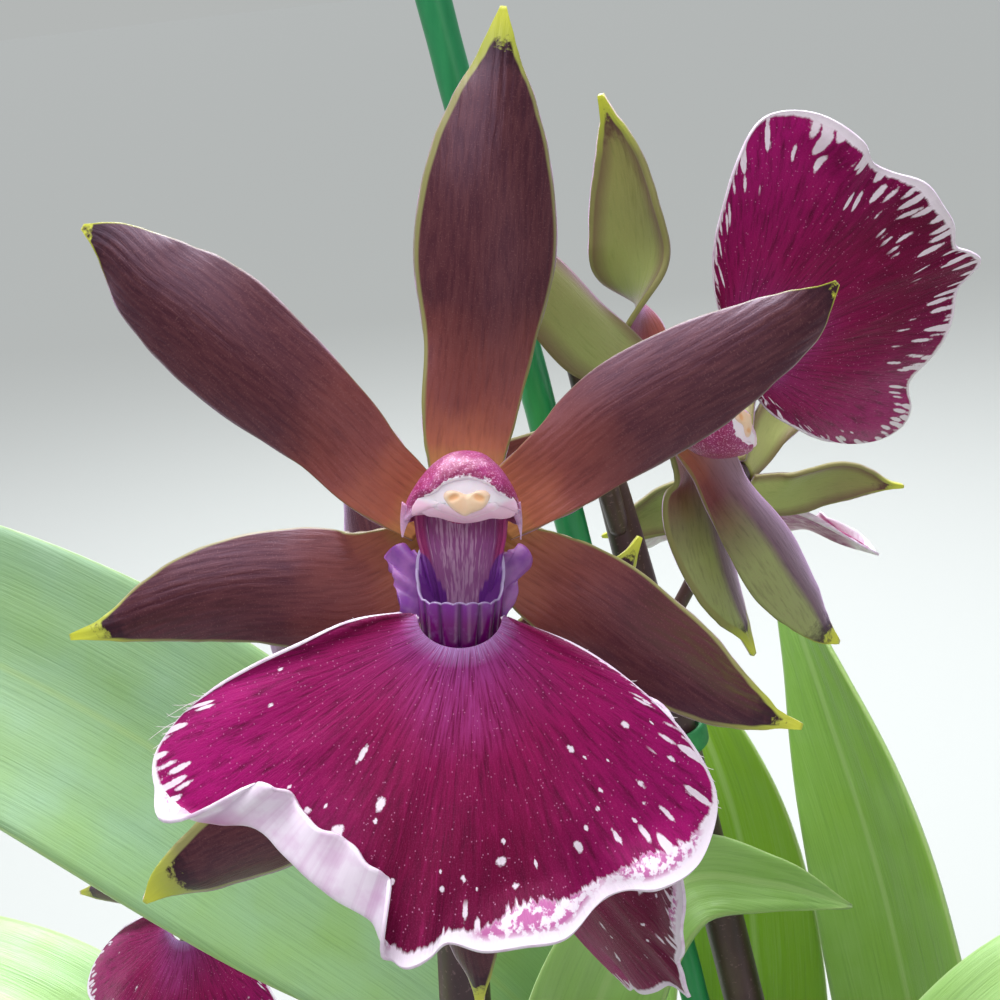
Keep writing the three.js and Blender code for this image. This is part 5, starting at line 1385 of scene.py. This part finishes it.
def makeLip(spec):
    matrix = bloomMatrix(spec)
    fine = spec["fine"]
    lift = spec.get("lipLift", 0)
    node = spec["prefix"] + "_lip"
    flecks, streakFloor = "streakFloor" not in spec, spec.get("streakFloor", 0.05)
    whiteShare, rollShare = spec.get("whiteShare", 1), spec.get("rollShare", 1)
    surface = lambda u, v: lipSurface(u, v, lift, flecks, streakFloor, whiteShare, rollShare)
    lip = shapedGrid("lip", lipForm["columns"], lipForm["rows"], surface, matrix, fine)
    thicken(lip, lipForm["thickness"], material_offset=1)
    smoothShade(lip)
    finishPiece(lip, node + "_blade", node, "lip", lipBack, lipFace)
    if "hairs" in spec:
        makeHairs(matrix, lift, node)
    crest = shapedGrid("crest", crestForm["columns"], crestForm["rows"], crestSurface, matrix, fine)
    ends = shapedGrid("crestFloor", 24, 8, crestFloor, matrix)
    crest = joined("crest", [crest, ends])
    smoothShade(crest)
    finishPiece(crest, node + "_crest", node, "lip", crestWax)
    ears = []
    for side in (1, -1):
        ear = shapedGrid("ear", earForm["columns"], earForm["rows"], earSurface(side), matrix, fine)
        thicken(ear, earForm["thickness"])
        ears.append(ear)
    ears.append(clawPiece("claw", matrix))
    ears = joined("ears", ears)
    smoothShade(ears)
    finishPiece(ears, node + "_ears", node, "lip", earFlesh)


def crestFloor(u, v):
    # the cup's floor inside the horseshoe
    q = 2 * u - 1
    p = np.stack([q * crestForm["floorHalf"], mix(*crestForm["floorY"], v), mix(*crestForm["floorZ"], v)], -1)
    return p, {"rimMm": 9.0, "inside": 1.0, "climb": 0.1, "ribPlace": q * 4}


# the column: hood, white bed under its brow, striped throat and arched body
# the hood and the edge of its magenta, both seen face on, from the right side over the top to the left
hoodOutline = [(6.45, -0.4), (6.4, 0.8), (6.1, 2.2), (5.55, 3.5), (4.65, 4.95), (3.75, 6), (2.55, 6.9),
               (1.05, 7.25), (-0.75, 7.05), (-2.35, 6.15), (-3.65, 4.85), (-4.7, 3.35),
               (-5.45, 1.9), (-5.75, 0.6), (-5.75, -0.2)]
browOutline = [(5.95, 1.03), (5.6, 1.9), (4.95, 2.45), (4.15, 3.05), (3.55, 3.65), (2.55, 4.2), (1.25, 4.53),
               (-0.05, 4.4), (-1.05, 4.1), (-1.8, 3.75), (-2.4, 3.15), (-3.1, 2.75),
               (-3.7, 2.25), (-4.2, 1.6), (-4.5, 1.03)]
hoodForm = {"back": 4.5, "widest": 10.4, "brow": 15.2, "middle": (0.4, 1.6), "shares": (0.36, 0.48, 0.16),
            "columns": 104, "rows": 60, "thickness": 0.45}
insideHood = {"browMm": 8.0, "flapPale": 0.0}


def flatLine(points, u):
    return smoothLine([(x, y, 0) for x, y in points]).byIndex(u)[:, :2]


def hoodSurface(u, v):
    # v runs from the back to the widest ring, over the front to the brow, and then rolls inwards
    outline, brow = flatLine(hoodOutline, u), flatLine(browOutline, u)
    middle = np.array(hoodForm["middle"])
    crown = smooth(0.2, 4.5, outline[:, 1])
    starts = np.cumsum([0, *hoodForm["shares"]])
    rear, front, lip = (np.clip((v - start) / span, 0, 1) for start, span in zip(starts, hoodForm["shares"]))
    swell = 0.62 + 0.38 * np.sin(rear * np.pi / 2)
    place = middle + (outline - middle) * swell[:, None]
    turn = front * np.pi / 2
    place = place + (brow - place) * (1 - np.cos(turn))[:, None]
    place = place + (middle - place) * (0.14 * lip)[:, None]
    browZ = hoodForm["brow"] - 2.0 * (1 - crown)
    z = mix(hoodForm["back"], hoodForm["widest"], rear) + (browZ - hoodForm["widest"]) * np.sin(turn)
    z = z + 0.12 * np.sin(lip * np.pi) - 1.1 * lip ** 1.6
    z = z + 0.05 * np.sin(u * 71) * np.sin(v * 33)
    side = smooth(1.6, -0.4, outline[:, 1])
    return np.column_stack([place, z]), {"browMm": (starts[2] - v) * 9, "flapPale": 0.7 * side}


# the pale pointed flap at either side of the hood: outer root, inner root and tip
flaps = [((6.3, 2.0), (5.3, 1.1), (6.35, -1.9)), ((-5.7, 2.0), (-4.5, 1.1), (-5.75, -1.6))]
flapForm = {"front": 12.0, "lean": 0.8, "bow": 0.15, "swell": 0.25, "columns": 12, "rows": 20, "thickness": 0.15}


def flapSurface(points):
    outer, inner, tip = (np.array(p) for p in points)

    def surface(u, v):
        root = outer + (inner - outer) * u[:, None]
        place = root + (tip - root) * (v ** 0.9)[:, None]
        place[:, 0] += flapForm["bow"] * np.sin(v * np.pi) * np.sign(tip[0])
        z = flapForm["front"] - flapForm["lean"] * v + flapForm["swell"] * np.sin(u * np.pi) * (1 - v)
        return np.column_stack([place, z]), {**insideHood, "flapPale": 0.45 + 0.5 * v}
    return surface


bedEdge = [(-3.85, 1.29), (-2.95, 0.99), (-1.95, 0.88), (-0.65, 0.55), (0.7, 0.38), (2, 0.52), (3.35, 0.82),
           (4.45, 0.76), (5.45, 0.99), (5.95, 1.43)]
bedForm = {"middle": (0.8, 2.5), "front": 14.5, "beak": (0.75, 0.85), "rise": 0.3,
           "columns": 120, "rows": 44}


def bedSurface(u, v):
    # a soft pillow that fills the brow and rounds back at its lower edge
    edge = flatLine(browOutline + bedEdge, u)
    middle = np.array(bedForm["middle"])
    place = middle + (edge - middle) * v[:, None]
    low = smooth(1.3, 0.2, edge[:, 1])
    ends = smooth(2.5, 5.5, np.abs(place[:, 0] - 0.4))
    z = bedForm["front"] - 0.5 * v ** 2 - 1.0 * low * v ** 5 - 0.9 * ends
    beakX, beakY = bedForm["beak"]
    dx, dy = place[:, 0] - beakX, place[:, 1] - beakY
    beak = np.exp(-((dx / 0.5) ** 2 + (dy / 0.35) ** 2))
    foldPlace = dy - bedForm["rise"] * np.abs(dx)
    folds = np.exp(-(foldPlace / 0.13) ** 2) * smooth(3.6, 2.2, np.abs(dx))
    z = z + 0.35 * beak + 0.14 * folds
    # pink along the folds is the bed's own colour; the pink below the fold line, where the bed rounds back under, is
    # painted shade
    pink = smooth(0.25, -0.35, foldPlace) + 0.5 * smooth(0.5, 0.9, folds)
    return np.column_stack([place, z]), {"bedPink": pink}


throatForm = {"top": 1.2, "foot": -9.6, "stripes": 17, "middle": 0.2, "strand": 0.06,
              "half": [[0, 5.2], [0.25, 5.0], [0.4, 4.7], [0.66, 4.2], [0.81, 3.8], [1, 3.5]],
              "strands": [[0, 5.6], [0.36, 5.2], [0.42, 4.4], [0.5, 3.75], [0.66, 3.0], [0.81, 2.1], [1, 1.7]],
              "wall": [[0, 12.4], [0.2, 9.8], [0.4, 7.3], [0.66, 5.2], [0.81, 4.3], [1, 3.4]],
              "hollow": (2.9, 1.0), "columns": 120, "rows": 48}


def throatSurface(u, v):
    q = 2 * u - 1
    y = mix(throatForm["top"], throatForm["foot"], v)
    hollow = mix(*throatForm["hollow"], v) * (1 - np.abs(q) ** 2.6)
    strand = throatForm["strand"] * np.cos(q * np.pi * throatForm["stripes"]) * (np.abs(q) < 0.8)
    x = throatForm["middle"] + q * along(throatForm["half"], v) * (1 - 0.06 * q * q)
    return np.stack([x, y, along(throatForm["wall"], v) - hollow + strand], -1), {
        "throatQ": q, "throatV": v, "wallMm": np.abs(x - throatForm["middle"]) - along(throatForm["strands"], v)}


columnForm = {"path": [(0, -1.6, -1.2), (0, -0.8, 4), (0.2, 1.4, 9), (0.3, 2.6, 11.4)],
              "width": [[0, 3.2], [0.4, 4.2], [0.75, 5.2], [1, 4.2]],
              "rise": [[0, 2.6], [0.5, 3.4], [0.8, 3.6], [1, 2.4]], "columns": 48, "rows": 30}


def columnSurface(u, v):
    line = smoothLine(columnForm["path"])
    turn = 2 * np.pi * u
    t = inner(v, 0.04)
    closing = endRound(v, 0.04)
    rise = np.sin(turn) * along(columnForm["rise"], t) * np.where(np.sin(turn) > 0, 1, 0.45)
    p = line.at(t)
    p[:, 0] += np.cos(turn) * along(columnForm["width"], t) * closing
    p[:, 1] += rise * closing
    return p, insideHood


# the wedge at the column's foot, each value at its top and at its foot
wedgeForm = {"y": (-0.4, -8.4), "half": (3.7, 1.6), "back": (0.2, 1.0), "front": (6.4, 2.0),
             "columns": 40, "rows": 24}
fleshThickness = 0.6


def wedgeSurface(u, v):
    # the column's foot, a wedge that joins it to the lip behind the crest
    turn = 2 * np.pi * u
    y, half, back, front = (mix(*wedgeForm[key], v) for key in ("y", "half", "back", "front"))
    closing = endRound(v, 0.06)
    squared = lambda c: np.sign(c) * np.abs(c) ** 0.7
    x = half * squared(np.cos(turn)) * closing
    z = (back + front) / 2 + (front - back) / 2 * squared(np.sin(turn)) * closing
    return np.stack([x, y, z], -1), insideHood


def makeColumn(spec):
    matrix = bloomMatrix(spec)
    node = spec["prefix"] + "_column"
    fine = spec["fine"]
    skins = [shapedGrid("hood", hoodForm["columns"], hoodForm["rows"], hoodSurface, matrix, fine)]
    thicken(skins[0], hoodForm["thickness"], -1)
    for points in flaps:
        flap = shapedGrid("flap", flapForm["columns"], int(flapForm["rows"] * fine), flapSurface(points), matrix)
        thicken(flap, flapForm["thickness"], -1)
        skins.append(flap)
    for form, surface in ((columnForm, columnSurface), (wedgeForm, wedgeSurface)):
        skins.append(closedGrid("body", form["columns"], form["rows"], surface, matrix, fine))
    hood = joined("hood", skins)
    bed = shapedGrid("bed", bedForm["columns"], bedForm["rows"], bedSurface, matrix, fine)
    closeSeam(bed)
    throat = shapedGrid("throat", throatForm["columns"], throatForm["rows"], throatSurface, matrix, fine)
    for flesh in (bed, throat):
        thicken(flesh, fleshThickness, -1)
    for flesh, name, paint in ((hood, "_hood", hoodSkin), (bed, "_bed", bedWax), (throat, "_throat", throatStripe)):
        smoothShade(flesh)
        finishPiece(flesh, node + name, node, "column", paint)


# the anther cap, seen face on: two lobes over a pointed beak
capOutline = [(3.27, 2.69), (3.2, 2.25), (2.9, 1.66), (2.4, 1.23), (1.4, 0.86), (0.71, 0.52), (0, 0.86),
              (-0.54, 1.23), (-1.11, 1.8), (-1.48, 2.4), (-1.35, 2.9), (-0.8, 3.16), (-0.05, 3.08), (0.55, 2.85),
              (0.9, 2.8), (1.35, 2.9), (2.1, 3.16), (2.85, 3.1), (3.27, 2.69)]
capForm = {"middle": (0.85, 2.05), "seat": 14.66, "rise": 0.8, "dents": [(-0.42, 2.4, 0.35), (2.1, 2.4, -0.35)],
           "dentDepth": 0.2, "sink": 0.4, "columns": 72, "rows": 48}


def capSurface(u, v):
    edge = flatLine(capOutline, u)
    middle = np.array(capForm["middle"])
    r = 1 - np.abs(2 * v - 1)
    place = middle + (edge - middle) * np.sin(r * np.pi / 2)[:, None]
    dome = np.cos(r * np.pi / 2)
    z = capForm["seat"] + np.where(v < 0.5, capForm["rise"], -capForm["sink"]) * dome ** 0.6
    # two pollen chambers show as shallow dents, with a low ridge between them
    dent = 0 * u
    for x, y, tilt in capForm["dents"]:
        dx, dy = place[:, 0] - x, place[:, 1] - y
        dent += np.exp(-(((dx + tilt * dy) / 0.62) ** 2 + ((dy - tilt * dx) / 0.36) ** 2) ** 1.5)
    dent = dent * (v < 0.5)
    return np.column_stack([place, z - capForm["dentDepth"] * dent]), {"capDent": dent, "capR": r}


def makeCap(spec):
    cap = closedGrid("antherCap", capForm["columns"], capForm["rows"], capSurface, bloomMatrix(spec), spec["fine"])
    smoothShade(cap)
    if spec["prefix"] == "main_bloom":
        finishPiece(cap, "mainAntherCap", "main_bloom_anther_cap", "anther", capWax)
    else:
        finishPiece(cap, spec["prefix"] + "_cap", spec["prefix"] + "_column", "column", capWax)


makePot()
makeBark()
makeMoss()
makeStake()
print("pot, bark and stake made")
for bulb in bulbs:
    makeBulb(bulb)
for name, leaf in leaves.items():
    makeLeaf(name, leaf)
print("pseudobulbs and leaves made")
for key in spikes:
    makeSpike(key)
for number, level in enumerate(tieForm["levels"]):
    makeTie(number + 1, level)
print("flower spikes and ties made")
for key, bloom in blooms.items():
    for seed, (name, tepal) in enumerate(tepals.items()):
        makeTepal(name, tepal, bloom.get("poses", {}).get(name, {}), bloom, seed + 1)
    makeLip(bloom)
    makeColumn(bloom)
    makeCap(bloom)
    print(key, "bloom made")
deselectAll()
